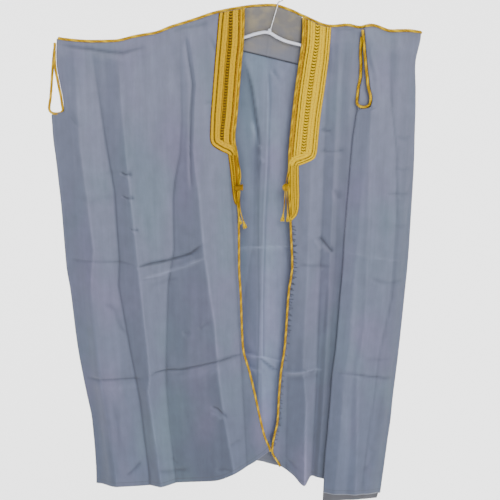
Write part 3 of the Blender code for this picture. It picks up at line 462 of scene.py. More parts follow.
def halfDepth(side, x, z):
    below = topZ(x) - z
    nearNeck = ease((0.170 - np.abs(x - 0.010)) / 0.080)
    full = np.interp(below / mm, hollow["below"], hollow[side]) * mm
    neck = np.interp(below / mm, hollow["below"], hollow["neck" + side.capitalize()]) * mm
    full = full + (neck - full) * nearNeck
    fromLeft = x - outlineX("leftSide", z)
    fromRight = outlineX("rightFold", z) - x
    left = np.minimum(gape(below, handLength["left"]), full)
    right = np.minimum(turnHalf, full)
    depth = left + (full - left) * ease(fromLeft / 0.070)
    return right + (depth - right) * ease(fromRight / 0.070)


def sideShare(x, z):
    return ease((x - outlineX("leftSide", z)) / 0.05) * ease((outlineX("rightFold", z) - x) / 0.09)


def frontDepth(x, z):
    below = topZ(x) - z
    out = pleatOut(pleats["front"], x, z) * ease(below / weave["pleatStart"] + 0.1)
    out += (creaseOut(creases["front"], x, z) + settle(x, z, 1.0)) * ease(below / 0.02)
    return -halfDepth("front", x, z) - out * sideShare(x, z)


def backDepth(x, z):
    below = topZ(x) - z
    out = pleatOut(pleats["back"], x, z) * ease(below / weave["pleatStart"] + 0.1)
    out += (creaseOut(creases["back"], x, z) + settle(x, z, 4.0)) * ease(below / 0.02)
    behindFacing = ease((below - 0.06) / 0.06) + (1 - ease((0.16 - np.abs(x - 0.01)) / 0.05))
    return halfDepth("back", x, z) + out * sideShare(x, z) * np.clip(behindFacing, 0, 1)


def turnStep(below):
    return 0.0040 + 0.0030 * (1 - ease(below / 0.05))


def flapWave(x, z):
    out = pleatOut(pleats["flap"], x, z) + creaseOut(creases["flap"], x, z) + settle(x, z, 7.0)
    return out * ease((outlineX("rightFold", z) - x) / 0.028) * ease((topZ(x) - z) / 0.03)


def calmFront(x, z):
    # the right front's form under the turned layers, without its own creases
    below = topZ(x) - z
    out = pleatOut(pleats["front"], x, z) * ease(below / weave["pleatStart"] + 0.1)
    return -halfDepth("front", x, z) - out * sideShare(x, z)


def turnedFrontDepth(x, z):
    return np.minimum(calmFront(x, z), -turnHalf) - turnStep(topZ(x) - z) - 0.5 * flapWave(x, z)


def flapHollow(x, z):
    below = topZ(x) - z
    inside = ease((outlineX("rightFold", z) - x) / 0.045)
    full = 0.0074 * ease(below / 0.06)
    atSide = 2 * (gape(below, handLength["right"]) - seamHalf) * 0.55
    return (atSide + (full - atSide) * ease((x - outlineX("flapSide", z)) / 0.04)) * inside


def turnedBackDepth(x, z):
    return turnedFrontDepth(x, z) - 2 * seamHalf - 0.0008 - flapHollow(x, z) - 0.5 * flapWave(x, z)


def columnPoints(column, rows):
    # one column of a panel: its height first, then the x of that height
    xOf, hem, depthOf, drop = column
    share = np.linspace(0, 1, rows)
    x = np.full(rows, float(xOf(np.array([-0.7]))[0]))
    for _ in range(4):
        high = topZ(xOf(topZ(x))) - drop
        low = hemZ(hem, xOf(hemZ(hem, x)))
        z = high + (low - high) * share
        x = xOf(z)
    return np.stack([x, depthOf(x, z), z], axis=1)


def toWorld(points):
    moved = np.array(points, float)
    moved[..., 0] += neckShift
    return moved


def travelled(points, axis=0):
    # the length run so far along a route, or along the rows or columns of a grid of points
    steps = np.linalg.norm(np.diff(points, axis=axis), axis=-1)
    return np.insert(np.cumsum(steps, axis=axis), 0, 0.0, axis=axis)


def slopeTone(points):
    # cloth that turns towards the light is lighter, and cloth that turns away is darker
    x, y, z = (points[..., axis] for axis in range(3))
    runX = np.gradient(x, axis=1)
    slope = np.gradient(y, axis=1) / np.maximum(np.abs(runX), 0.0012)
    bend = np.gradient(slope, axis=1) / np.maximum(np.abs(runX), 0.002)
    steep = np.gradient(y, axis=0) / np.maximum(np.abs(np.gradient(z, axis=0)), 0.0012)
    whole = x[0, -1] - x[0, 0]
    turn = np.where(runX * whole > 0, 1.0, -1.0) * np.sign(whole)
    lower = ease((slopeShade["lowerFrom"] - z) / slopeShade["lowerOver"])
    gain = slopeShade["gain"] + slopeShade["lowerGain"] * lower
    rounded = np.clip(bend * slopeShade["bend"], slopeShade["least"], slopeShade["most"])
    return np.clip(0.5 + gain * slope * turn - slopeShade["steep"] * steep + rounded, 0, 1)


def gridPiece(name, points, wall, shade=0.5):
    # a sheet from rows of points: primitive grid, each point moved to its place, then given its wall
    rows, cols = points.shape[:2]
    bpy.ops.object.select_all(action="DESELECT")
    bpy.ops.mesh.primitive_grid_add(x_subdivisions=cols - 1, y_subdivisions=rows - 1, size=1)
    piece = bpy.context.object
    piece.name = piece.data.name = name
    flat = np.empty(len(piece.data.vertices) * 3)
    piece.data.vertices.foreach_get("co", flat)
    flat = flat.reshape(-1, 3)
    col = np.rint((flat[:, 0] + 0.5) * (cols - 1)).astype(int)
    row = np.rint((0.5 - flat[:, 1]) * (rows - 1)).astype(int)
    piece.data.vertices.foreach_set("co", toWorld(points)[row, col].ravel())
    across, down = travelled(points, 1), travelled(points, 0)
    ends = np.empty(len(piece.data.loops), int)
    piece.data.loops.foreach_get("vertex_index", ends)
    maps = {"clothMap": (across, down), "hemMap": (across, down[-1:] - down)}
    for layer, (first, second) in maps.items():
        uv = piece.data.uv_layers.new(name=layer)
        pair = np.stack([first[row, col][ends], second[row, col][ends]], axis=1)
        uv.data.foreach_set("uv", pair.ravel())
    # the painted light and shade of the pleats and folds, kept on each point
    for label, values in (("pleatLightAndShade", slopeTone(points)), ("foldLightAndShade", shade)):
        layer = piece.data.attributes.new(label, "FLOAT", "POINT")
        layer.data.foreach_set("value", np.broadcast_to(values, (rows, cols))[row, col])
    for spare in [layer for layer in piece.data.uv_layers if layer.name not in maps]:
        piece.data.uv_layers.remove(spare)
    bpy.ops.object.shade_smooth()
    solid = piece.modifiers.new("wall", "SOLIDIFY")
    solid.thickness = wall
    solid.offset = 0
    bpy.ops.object.modifier_apply(modifier="wall")
    return piece


def leftStrand(z):
    path = smoothRead(z, (-0.130, -0.203, -0.248, -0.302, -0.328, -0.345),
                      (-0.566, -0.570, -0.565, -0.558, -0.5575, -0.566))
    slitEnd = ease((z + 0.3315) / 0.010 + 0.5)
    side = outlineX("leftSide", z)
    return side + (np.maximum(path, side + 0.0008) - side) * slitEnd


def rightStrand(z):
    path = smoothRead(z, (-0.110, -0.159, -0.201, -0.227, -0.260, -0.290, -0.308, -0.330),
                      (0.248, 0.2535, 0.259, 0.263, 0.268, 0.2755, 0.273, 0.262))
    slitEnd = ease((z + 0.3175) / 0.006 + 0.5)
    side = outlineX("flapSide", z)
    return side + (np.maximum(path, side) - side) * slitEnd


def flapInnerStrand(z):
    path = smoothRead(z, (-0.110, -0.159, -0.201, -0.235, -0.267, -0.290, -0.318),
                      (0.2365, 0.2415, 0.2475, 0.2475, 0.2405, 0.2385, 0.238))
    side = outlineX("flapSide", z)
    return np.maximum(side, np.where(z > -0.33, path, side))


def between(first, last, share):
    return lambda z: first(z) + (last(z) - first(z)) * share


def lineOf(name):
    return lambda z: outlineX(name, z)


def foldLine(z):
    return outlineX("rightFold", z) - foldInset


def foldColumns(kind, hiddenDrop):
    made = []
    near, far = (frontDepth, turnedFrontDepth) if kind == "inner" else (backDepth, turnedBackDepth)
    inset = innerInset if kind == "inner" else 0

    def ends(z):
        x = foldLine(z)
        return near(x, z), far(x, z)

    for angle in np.linspace(0, 1, 9):
        def xOf(z, angle=angle):
            first, last = ends(z)
            reach = np.minimum(np.abs(first - last) / 2, foldInset - inset - clothWall / 2)
            return foldLine(z) + reach * math.sin(math.pi * angle)

        def depthOf(x, z, angle=angle):
            first, last = ends(z)
            return (first + last) / 2 + (first - last) / 2 * math.cos(math.pi * angle)

        drop = hiddenDrop if (angle < 0.5) == (kind == "outer") else 0
        made.append((xOf, "fold", depthOf, drop))
    return made


def hangPanels():
    step = weave["across"]
    rows = int(panelCut["drop"] / weave["down"])
    edge, side = lineOf("leftEdge"), lineOf("leftSide")
    columns = []
    count = int(panelCut["left"] / step)
    for index in range(count + 1):
        share = index / count
        plain = between(edge, side, share)
        if share > 0.9:
            part = (share - 0.9) / 0.1
            inner = between(edge, side, 0.9)
            xOf = lambda z, part=part, inner=inner: inner(z) * (1 - part) + leftStrand(z) * part
        else:
            xOf = plain
        columns.append((xOf, "frontLeft", frontDepth, 0))
    left = np.stack([columnPoints(column, rows) for column in columns], axis=1)
    edge = lineOf("rightEdge")
    columns = []
    count = int(panelCut["right"] / step)
    for index in range(count):
        columns.append((between(edge, foldLine, index / count), "frontRight", frontDepth, 0))
    columns += foldColumns("inner", hiddenDrop)
    count = int(panelCut["turnedFront"] / step)
    for index in range(1, count + 1):
        columns.append((between(foldLine, flapInnerStrand, index / count), "turnedFront", turnedFrontDepth,
                        hiddenDrop))
    right = np.stack([columnPoints(column, rows) for column in columns], axis=1)
    columns = []
    backStep = step * weave["coarser"]
    rowsBack = int(panelCut["drop"] / (weave["down"] * weave["coarserDown"]))
    neck = panelCut["neck"]
    # the back's columns stand closer where they are seen through the opening
    across = np.arange(0, panelCut["back"], mm)
    seen = (across > panelCut["seenFrom"]) & (across < panelCut["seenTo"])
    run = np.cumsum(np.where(seen, 1 / weave["across"], 1 / weave["behind"])) * mm
    even = np.linspace(0, run[-1], int(run[-1]) + 1)
    for share in np.interp(even, np.append(0, run), np.append(0, across + mm)) / panelCut["back"]:
        if share > 0.9999:
            break
        xOf = between(side, foldLine, share)
        if share < 0.06:
            part = share / 0.06
            inner = between(side, foldLine, 0.06)
            xOf = lambda z, part=part, inner=inner: (leftStrand(z) - 0.0006) * (1 - part) + inner(z) * part
        atTop = float(xOf(np.array([-0.07]))[0])
        inNeck = float(ease((atTop - neck[0]) / 0.012) * ease((neck[1] - atTop) / 0.012))
        drop = hiddenDrop * (1 - inNeck)
        columns.append((xOf, "back", backDepth, drop))
    columns += foldColumns("outer", hiddenDrop)
    count = int(panelCut["turnedBack"] / backStep)
    for index in range(1, count + 1):
        columns.append((between(foldLine, rightStrand, index / count), "turnedBack", turnedBackDepth, 0))
    back = np.stack([columnPoints(column, rowsBack) for column in columns], axis=1)
    return left, right, back


leftPoints, rightPoints, backPoints = hangPanels()
print("panel forms", leftPoints.shape, rightPoints.shape, backPoints.shape)


def addNode(tree, kind, inputs=None, **settings):
    # one shader node with its settings; an input is a number, a colour or another node's output
    node = tree.nodes.new("ShaderNode" + kind)
    for key, value in settings.items():
        setattr(node, key, value)
    for key, value in (inputs or {}).items():
        if isinstance(value, bpy.types.NodeSocket):
            tree.links.new(value, node.inputs[key])
        else:
            node.inputs[key].default_value = value
    return node


def sums(tree, operation, first, second=0.0, third=0.0):
    node = addNode(tree, "Math", {0: first, 1: second, 2: third}, operation=operation)
    return node.outputs[0]


def part(tree, vector, axis):
    return addNode(tree, "SeparateXYZ", {0: vector}).outputs[axis]


def mapOf(tree, name):
    return addNode(tree, "UVMap", uv_map=name).outputs[0]


def scaled(tree, colour, scale):
    return addNode(tree, "VectorMath", {0: colour, "Scale": scale}, operation="SCALE").outputs[0]


def ramp(tree, value, stops, constant=False):
    node = addNode(tree, "ValToRGB", {0: value})
    bar = node.color_ramp
    bar.interpolation = "CONSTANT" if constant else "LINEAR"
    while len(bar.elements) > 1:
        bar.elements.remove(bar.elements[-1])
    for index, (place, colour) in enumerate(stops):
        item = bar.elements[0] if index == 0 else bar.elements.new(place)
        item.position = place
        item.color = (*colour, 1) if len(colour) == 3 else (colour[0], colour[0], colour[0], 1)
    return node.outputs[0]


def blend(tree, share, first, second, mode="MIX"):
    node = addNode(tree, "Mix", data_type="RGBA", blend_type=mode)
    for index, value in ((0, share), (6, first), (7, second)):
        if isinstance(value, bpy.types.NodeSocket):
            tree.links.new(value, node.inputs[index])
        else:
            node.inputs[index].default_value = value if index == 0 else (*value, 1)
    return node.outputs[2]


def stretched(tree, source, scale, detail=2.0, size=1.0, rough=0.5):
    moved = addNode(tree, "Mapping", {"Vector": source, "Scale": scale})
    settings = {"Vector": moved.outputs[0], "Scale": size, "Detail": detail, "Roughness": rough}
    return addNode(tree, "TexNoise", settings).outputs[0]


def fadeDown(tree, height, start, drop):
    # from nothing at the start to full after the drop
    return addNode(tree, "MapRange", {"Value": height, "From Min": start,
                                      "From Max": start - drop}).outputs[0]


def newMaterial(name, roughness=0.6, metallic=0.0, glint=0.4):
    material = bpy.data.materials.new(name)
    material.use_nodes = True
    tree = material.node_tree
    tree.nodes.clear()
    settings = {"Roughness": roughness, "Metallic": metallic, "Specular IOR Level": glint}
    shader = addNode(tree, "BsdfPrincipled", settings)
    out = tree.nodes.new("ShaderNodeOutputMaterial")
    tree.links.new(shader.outputs[0], out.inputs[0])
    return material, tree, shader


# inside: painted light on the inside of the back; brown, low down: painted shade on that inside under the
# front hem
clothLook = {
    "upper": (0.0645, 0.0715, 0.108), "lower": (0.0315, 0.0408, 0.0715), "violet": (0.060, 0.0570, 0.102),
    "teal": (0.043, 0.066, 0.090), "inside": 1.2, "brown": (0.030, 0.029, 0.032), "insideShadeFrom": -1.388,
}
# Ramps for the painted light and painted shade of the pleats and press folds
paintedLightShadeRamps = {
    "pleatLightAndShade": ((0.1, (0.76, 0.79, 0.82)), (0.5, (1.0,)), (0.9, (1.15, 1.14, 1.12))),
    "foldLightAndShade": ((0.0, (0.34, 0.38, 0.41)), (0.5, (1.0,)), (1.0, (1.45, 1.43, 1.38))),
}
hemLook = {"turned": 0.016, "seam": 0.0155, "seamHalf": 0.0011, "stitches": 190,
           "colour": (0.022, 0.024, 0.034)}
# low: the painted shade of the facing's lower part
facingLook = {"colour": (0.090, 0.082, 0.075), "dark": (0.062, 0.058, 0.055), "low": (0.066, 0.070, 0.092),
              "warm": (0.135, 0.112, 0.068)}
goldLook = {
    "shine": (0.56, 0.375, 0.003), "light": (0.385, 0.238, 0.001), "mid": (0.225, 0.125, 0.001),
    "deep": (0.080, 0.034, 0.001),
    "brown": (0.013, 0.004, 0.001), "olive": (0.045, 0.023, 0.001), "orange": (0.130, 0.038, 0.001),
}


def clothMaterial(name, look, plain=False, hemShadeFrom=None):
    material, tree, shader = newMaterial(name, 0.62)
    place = addNode(tree, "TexCoord").outputs["Object"]
    threads = mapOf(tree, "clothMap")
    height = part(tree, place, 2)
    if plain:
        colour = blend(tree, stretched(tree, place, (30, 30, 30), 3), look["dark"], look["colour"])
        # painted shade: the facing darkens to blue-grey towards its lower seam
        low = fadeDown(tree, height, -0.09, 0.095)
        colour = blend(tree, low, colour, look["low"])
        warm = ramp(tree, stretched(tree, place, (24, 24, 34), 2), ((0.46, (0.0,)), (0.66, (0.75,))))
        colour = blend(tree, sums(tree, "MULTIPLY", warm, sums(tree, "SUBTRACT", 1.0, low)), colour,
                       look["warm"])
    else:
        down = fadeDown(tree, height, -0.25, 1.2)
        colour = blend(tree, down, look["upper"], look["lower"])
        patch = ramp(tree, stretched(tree, place, (7, 7, 3.2), 2), ((0.48, (0.0,)), (0.72, (1.0,))))
        colour = blend(tree, sums(tree, "MULTIPLY", patch, 0.8), colour, look["violet"])
        patch = ramp(tree, stretched(tree, place, (5.1, 9, 2.7), 2), ((0.5, (0.0,)), (0.74, (1.0,))))
        colour = blend(tree, sums(tree, "MULTIPLY", patch, 0.8), colour, look["teal"])
        for scale, low, high in (((46, 46, 30), 0.93, 1.07), ((75, 75, 3.5), 0.95, 1.05)):
            mottle = ramp(tree, stretched(tree, place, scale, 3), ((0.32, (low,)), (0.68, (high,))))
            colour = blend(tree, 1.0, colour, mottle, "MULTIPLY")
    warp = stretched(tree, threads, (1500, 26, 1), 2)
    weft = stretched(tree, threads, (34, 1300, 1), 2)
    slub = stretched(tree, threads, (160, 5, 1), 3)
    grain = sums(tree, "MULTIPLY_ADD", warp, 0.5, sums(tree, "MULTIPLY", weft, 0.5))
    uneven = sums(tree, "MULTIPLY_ADD", slub, 0.55, sums(tree, "MULTIPLY", grain, 0.45))
    colour = blend(tree, 1.0, colour, ramp(tree, uneven, ((0.34, (0.955,)), (0.66, (1.03,)))), "MULTIPLY")
    if not plain:
        # painted light and shade: pleats turned to the light and pressed ridges are lighter, troughs and
        # slopes turned away are darker
        for label, stops in paintedLightShadeRamps.items():
            share = addNode(tree, "Attribute", attribute_name=label).outputs["Fac"]
            colour = blend(tree, 1.0, colour, ramp(tree, share, stops), "MULTIPLY")
        # the hem is turned up once and sewn with short stitches
        hem = mapOf(tree, "hemMap")
        fromHem = part(tree, hem, 1)
        turned = sums(tree, "LESS_THAN", fromHem, hemLook["turned"])
        offSeam = sums(tree, "ABSOLUTE", sums(tree, "SUBTRACT", fromHem, hemLook["seam"]))
        seam = sums(tree, "LESS_THAN", offSeam, hemLook["seamHalf"])
        along = sums(tree, "FRACT", sums(tree, "MULTIPLY", part(tree, hem, 0), hemLook["stitches"]))
        dash = sums(tree, "LESS_THAN", along, 0.55)
        mark = sums(tree, "MULTIPLY", seam, sums(tree, "MULTIPLY_ADD", dash, 0.45, 0.25))
        colour = blend(tree, sums(tree, "MULTIPLY_ADD", turned, 0.10, mark), colour, hemLook["colour"])
        # painted light: the inside of the back is seen through the opening and is painted a little lighter,
        # more so towards the hem
        outward = part(tree, addNode(tree, "NewGeometry").outputs["Normal"], 1)
        behind = sums(tree, "GREATER_THAN", part(tree, place, 1), 0.002)
        inner = sums(tree, "MULTIPLY", behind, sums(tree, "LESS_THAN", outward, 0.0))
        paintedLightGain = sums(tree, "MULTIPLY_ADD", down, -0.35, 1.06)
        paintedLightGain = sums(tree, "MULTIPLY_ADD", sums(tree, "MULTIPLY", down, down), 1.4, paintedLightGain)
        lighter = scaled(tree, scaled(tree, colour, look["inside"]), paintedLightGain)
        # painted shade: low down, where it shows under the front hem, the inside darkens to brown
        shaded = sums(tree, "MULTIPLY", fadeDown(tree, height, look["insideShadeFrom"], 0.010), 0.75)
        colour = blend(tree, inner, colour, blend(tree, shaded, lighter, look["brown"]))
        # painted shade: below the given height the cloth darkens to brown, where the turned front shows
        # under the hem
        if hemShadeFrom:
            under = sums(tree, "MULTIPLY", fadeDown(tree, height, hemShadeFrom, 0.004), 0.85)
            colour = blend(tree, under, colour, look["brown"])
    tree.links.new(colour, shader.inputs["Base Color"])
    bump = addNode(tree, "Bump", {"Strength": 0.22, "Distance": 0.0006, "Height": grain})
    crumple = stretched(tree, place, (38, 38, 12), 3, rough=0.55)
    bump = addNode(tree, "Bump", {"Strength": 0.16, "Distance": 0.006, "Height": crumple,
                                  "Normal": bump.outputs[0]})
    tree.links.new(bump.outputs[0], shader.inputs["Normal"])
    shader.inputs["Sheen Weight"].default_value = 0.35
    shader.inputs["Sheen Roughness"].default_value = 0.4
    shader.inputs["Specular IOR Level"].default_value = 0.35
    return material


def cordMaterial(name, dark=1.0):
    # twisted gold thread: a painted highlight along the front of each strand, turning to painted brown shade
    # round its back, where the strands meet
    material, tree, shader = newMaterial(name, 0.45, 0.35, 0.08)
    cordMap = mapOf(tree, "cordMap")
    around, along = part(tree, cordMap, 0), part(tree, cordMap, 1)
    # painted highlight and shade round each strand, from its front to its back
    share = sums(tree, "ABSOLUTE", sums(tree, "SUBTRACT", around, 0.5))
    paintedGrooveShade = goldLook["brown" if dark > 0.5 else "deep"]
    stops = ((0.0, goldLook["shine"]), (0.45, goldLook["light"]), (0.8, goldLook["mid"]), (1.0, paintedGrooveShade))
    colour = ramp(tree, sums(tree, "MULTIPLY", share, 2.0), stops)
    turn = sums(tree, "MULTIPLY_ADD", along, 5200, sums(tree, "MULTIPLY", around, 18))
    fibre = sums(tree, "SINE", turn)
    colour = blend(tree, ramp(tree, fibre, ((0.0, (0.35 * dark,)), (0.9, (0.0,)))), colour, goldLook["deep"])
    place = addNode(tree, "TexCoord").outputs["Object"]
    patch = ramp(tree, stretched(tree, place, (60, 60, 60), 2), ((0.35, (0.25 * dark,)), (0.65, (0.0,))))
    colour = blend(tree, patch, colour, goldLook["orange"])
    tree.links.new(colour, shader.inputs["Base Color"])
    bump = addNode(tree, "Bump", {"Strength": 0.4, "Distance": 0.0004, "Height": fibre})
    tree.links.new(bump.outputs[0], shader.inputs["Normal"])
    return material


def braidMaterial(name, shape):
    # the zones across the braid, fine threads along it, and the stitched column in its middle
    stops = [(item[0], item[2]) for item in shape["zones"]]
    centre = shape["centre"]
    material, tree, shader = newMaterial(name, 0.45, 0.35, 0.08)
    threads = mapOf(tree, "zoneMap")
    zone, along = part(tree, threads, 0), part(tree, threads, 1)
    colour = ramp(tree, zone, stops, constant=True)
    stripe = sums(tree, "SINE", sums(tree, "MULTIPLY", zone, 300.0))
    wander = stretched(tree, threads, (18, 170, 1), 3)
    speckle = stretched(tree, threads, (30, 420, 1), 2)
    colour = blend(tree, ramp(tree, stripe, ((0.0, (0.46,)), (0.7, (0.0,)))), colour, goldLook["deep"])
    colour = blend(tree, ramp(tree, wander, ((0.45, (0.0,)), (0.70, (0.25,)))), colour, goldLook["light"])
    colour = blend(tree, ramp(tree, speckle, ((0.30, (0.75,)), (0.46, (0.0,)))), colour, goldLook["deep"])
    colour = blend(tree, ramp(tree, speckle, ((0.56, (0.0,)), (0.72, (0.5,)))), colour, goldLook["shine"])
    knots = sums(tree, "SINE", sums(tree, "MULTIPLY", along, 2 * math.pi / 0.0021))
    colour = blend(tree, ramp(tree, knots, ((0.0, (0.25,)), (0.8, (0.0,)))), colour, goldLook["deep"])
    middle = sum(centre) / 2
    off = sums(tree, "SUBTRACT", zone, middle)
    turn = sums(tree, "DIVIDE", along, shape["pitch"])
    turn = sums(tree, "MULTIPLY_ADD", sums(tree, "ABSOLUTE", off), shape["slant"], turn)
    stitch = sums(tree, "SINE", sums(tree, "MULTIPLY", turn, 2 * math.pi))
    inside = sums(tree, "LESS_THAN", sums(tree, "ABSOLUTE", off), (centre[1] - centre[0]) / 2)
    dark = sums(tree, "MULTIPLY", inside, sums(tree, "GREATER_THAN", stitch, shape["bare"]))
    colour = blend(tree, sums(tree, "MULTIPLY", dark, 0.9), colour, goldLook["brown"])
    colour = addNode(tree, "VectorMath", {0: colour, 1: shape["gain"]}, operation="MULTIPLY").outputs[0]
    tree.links.new(colour, shader.inputs["Base Color"])
    height = sums(tree, "ADD", sums(tree, "MULTIPLY", stripe, 0.5), sums(tree, "MULTIPLY", knots, 0.5))
    bump = addNode(tree, "Bump", {"Strength": 0.5, "Distance": 0.0004, "Height": height})
    tree.links.new(bump.outputs[0], shader.inputs["Normal"])
    return material


def simpleMaterial(name, colour, roughness, metallic=0.0, grain=40, change=0.12):
    material, tree, shader = newMaterial(name, roughness, metallic)
    place = addNode(tree, "TexCoord").outputs["Object"]
    spread = stretched(tree, place, (grain, grain, grain), 3)
    darker = tuple(value * (1 - change) for value in colour)
    tree.links.new(blend(tree, spread, darker, colour), shader.inputs["Base Color"])
    return material


cloakCloth = clothMaterial("cloakCloth", clothLook)
# the turned front gets painted shade along its lowest edge
turnedCloth = clothMaterial("turnedCloth", clothLook, hemShadeFrom=-1.512)
facingCloth = clothMaterial("facingCloth", facingLook, True)
goldCord = cordMaterial("goldCord")
knotGold = cordMaterial("knotGold", 0.3)
print("materials made")


def dress(piece, material, slot, *replaced):
    piece.data.materials.clear()
    piece.data.materials.append(material)
    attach(piece, "root")
    if replaced:
        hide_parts(*replaced)


panels = {}
for name, node, points, kinds, flat, area in (
    ("frontLeftCloth", "front_left", leftPoints, ("front", "front"), (0.54, 1.46), 0.74),
    ("frontRightCloth", "front_right", rightPoints, ("front", "flap"), (0.54, 1.50), 0.75),
    ("backCloth", "back", backPoints, ("back", "flap"), (1.18, 1.50), 1.66),
):
    # past the right fold the cloth is turned and has the turned side's own folds
    turned = np.cumsum(np.concatenate([[0], np.diff(points[len(points) // 2, :, 0]) < 0])) > 1
    shade = foldShade(kinds[0], points[..., 0], points[..., 2])
    if kinds[1] != kinds[0]:
        shade[:, turned] = foldShade(kinds[1], points[..., 0], points[..., 2])[:, turned]
    panels[name] = gridPiece(name, points, clothWall, shade)
    dress(panels[name], turnedCloth if node == "front_right" else cloakCloth, "cloth", node)
    print(name, len(panels[name].data.polygons), "faces")

facing = {"left": -0.078, "right": 0.086, "step": 0.003, "wall": 0.001,
          "seam": ((-0.074, -0.1655), (0.077, -0.202)),
          "fold": 0.014}


def hangFacing():
    # the facing inside the back neck, down to its slanted seam, with a pressed fold in its middle
    low, high = facing["seam"]
    across = np.arange(facing["left"], facing["right"], facing["step"])
    points = []
    for share in np.linspace(0, 1, 36):
        top = topZ(across) - 0.0012
        bottom = low[1] + (across - low[0]) * (high[1] - low[1]) / (high[0] - low[0])
        z = top + (bottom - top) * share
        fold = 1.1 * mm * np.exp(-((across - facing["fold"] + 0.022 * share) / 0.004) ** 2)
        fold -= 0.9 * mm * np.exp(-((across - facing["fold"] + 0.022 * share - 0.007) / 0.004) ** 2)
        y = backDepth(across, z) - clothWall / 2 - gap - facing["wall"] / 2 - np.maximum(fold, 0.0) - 0.0002
        points.append(np.stack([across, y, z], axis=1))
    piece = gridPiece("neckFacing", np.array(points), facing["wall"])
    dress(piece, facingCloth, "facing", "back_yoke")
    # the seam's turned edge: a narrow dark roll along the lower edge
    low = np.array(points[-1]) - np.array([0, 0.0010, 0.0012])
    return piece, low


facingPiece, facingSeam = hangFacing()


def smoothRoute(points, spacing):
    points = np.array(points, float)
    ends = np.concatenate([[2 * points[0] - points[1]], points, [2 * points[-1] - points[-2]]])
    fine = []
    for before, start, stop, after in zip(ends, ends[1:], ends[2:], ends[3:]):
        for step in range(12):
            t = step / 12
            square = 2 * before - 5 * start + 4 * stop - after
            cube = 3 * start - before - 3 * stop + after
            fine.append(0.5 * (2 * start + (stop - before) * t + square * t ** 2 + cube * t ** 3))
    fine.append(points[-1])
    return evenRoute(np.array(fine), spacing)


def evenRoute(points, spacing):
    points = np.array(points, float)
    lengths = travelled(points)
    count = max(3, int(round(lengths[-1] / spacing)) + 1)
    at = np.linspace(0, lengths[-1], count)
    return np.stack([np.interp(at, lengths, points[:, axis]) for axis in range(3)], axis=1)


def softened(points, times):
    points = np.array(points, float)
    for _ in range(times):
        points[1:-1] = points[1:-1] * 0.5 + (points[:-2] + points[2:]) * 0.25
    return points


def unit(vectors):
    return vectors / np.linalg.norm(vectors, axis=-1, keepdims=True)


def routeFrames(route):
    along = unit(np.gradient(route, axis=0))
    side = np.zeros_like(along)
    seed = np.array([0.0, -1.0, 0.0])
    for index, heading in enumerate(along):
        seed = unit(seed - heading * np.dot(seed, heading))
        side[index] = seed
    return side, np.cross(along, side)


def tubeMesh(name, tubes):
    # closed tubes in one mesh: each is (route, radius or radii, sides); u runs round the tube, v along it
    verts, faces, maps = [], [], []
    for route, radius, sides in tubes:
        route = np.array(route, float)
        side, other = routeFrames(route)
        radii = np.broadcast_to(np.array(radius, float), (len(route),))
        run = travelled(route)
        base = len(verts)
        for index, place in enumerate(route):
            for step in range(sides):
                angle = 2 * math.pi * step / sides
                out = side[index] * math.cos(angle) + other[index] * math.sin(angle)
                verts.append(place + out * radii[index])
        for index in range(len(route) - 1):
            for step in range(sides):
                after = (step + 1) % sides
                one, two = base + index * sides + step, base + index * sides + after
                faces.append((one, two, two + sides, one + sides))
                first, last = (step / sides + 0.5) % 1.0, ((step + 1) / sides + 0.5) % 1.0 or 1.0
                low, high = run[index], run[index + 1]
                maps += [(first, low), (last, low), (last, high), (first, high)]
        faces.append(tuple(base + step for step in reversed(range(sides))))
        faces.append(tuple(base + (len(route) - 1) * sides + step for step in range(sides)))
        maps += [(0.5, 0.0)] * (2 * sides)
    mesh = bpy.data.meshes.new(name)
    mesh.from_pydata([tuple(v) for v in toWorld(verts)], [], faces)
    layer = mesh.uv_layers.new(name="cordMap")
    layer.data.foreach_set("uv", np.array(maps, float).ravel())
    mesh.shade_smooth()
    return putIn(name, mesh)


def strands(route, radius, count, pitch, sides=6, fill=0.63):
    # twisted strands round a route
    route = evenRoute(route, pitch / 8)
    side, other = routeFrames(route)
    run = travelled(route)
    made = []
    for strand in range(count):
        angle = 2 * math.pi * (run / pitch + strand / count)
        offset = side * np.cos(angle)[:, None] + other * np.sin(angle)[:, None]
        made.append((route + offset * radius * (1 - fill), radius * fill, sides))
    return made


cordShape = {"edgeRadius": 0.0043, "frontRadius": 0.0037, "pitch": 0.0100, "frontPitch": 0.0090}


def above(points, distance):
    points = np.array(points, float)
    run = np.gradient(points, axis=0)
    run[run[:, 0] < 0] *= -1
    length = np.hypot(run[:, 0], run[:, 2])
    return points + np.stack([-run[:, 2] / length, 0 * length, run[:, 0] / length], axis=1) * distance


def besideEdge(edge, inner, distance):
    along = unit(np.gradient(edge, axis=0))
    out = edge - inner
    out -= along * np.sum(out * along, axis=1)[:, None]
    return edge + unit(out) * distance


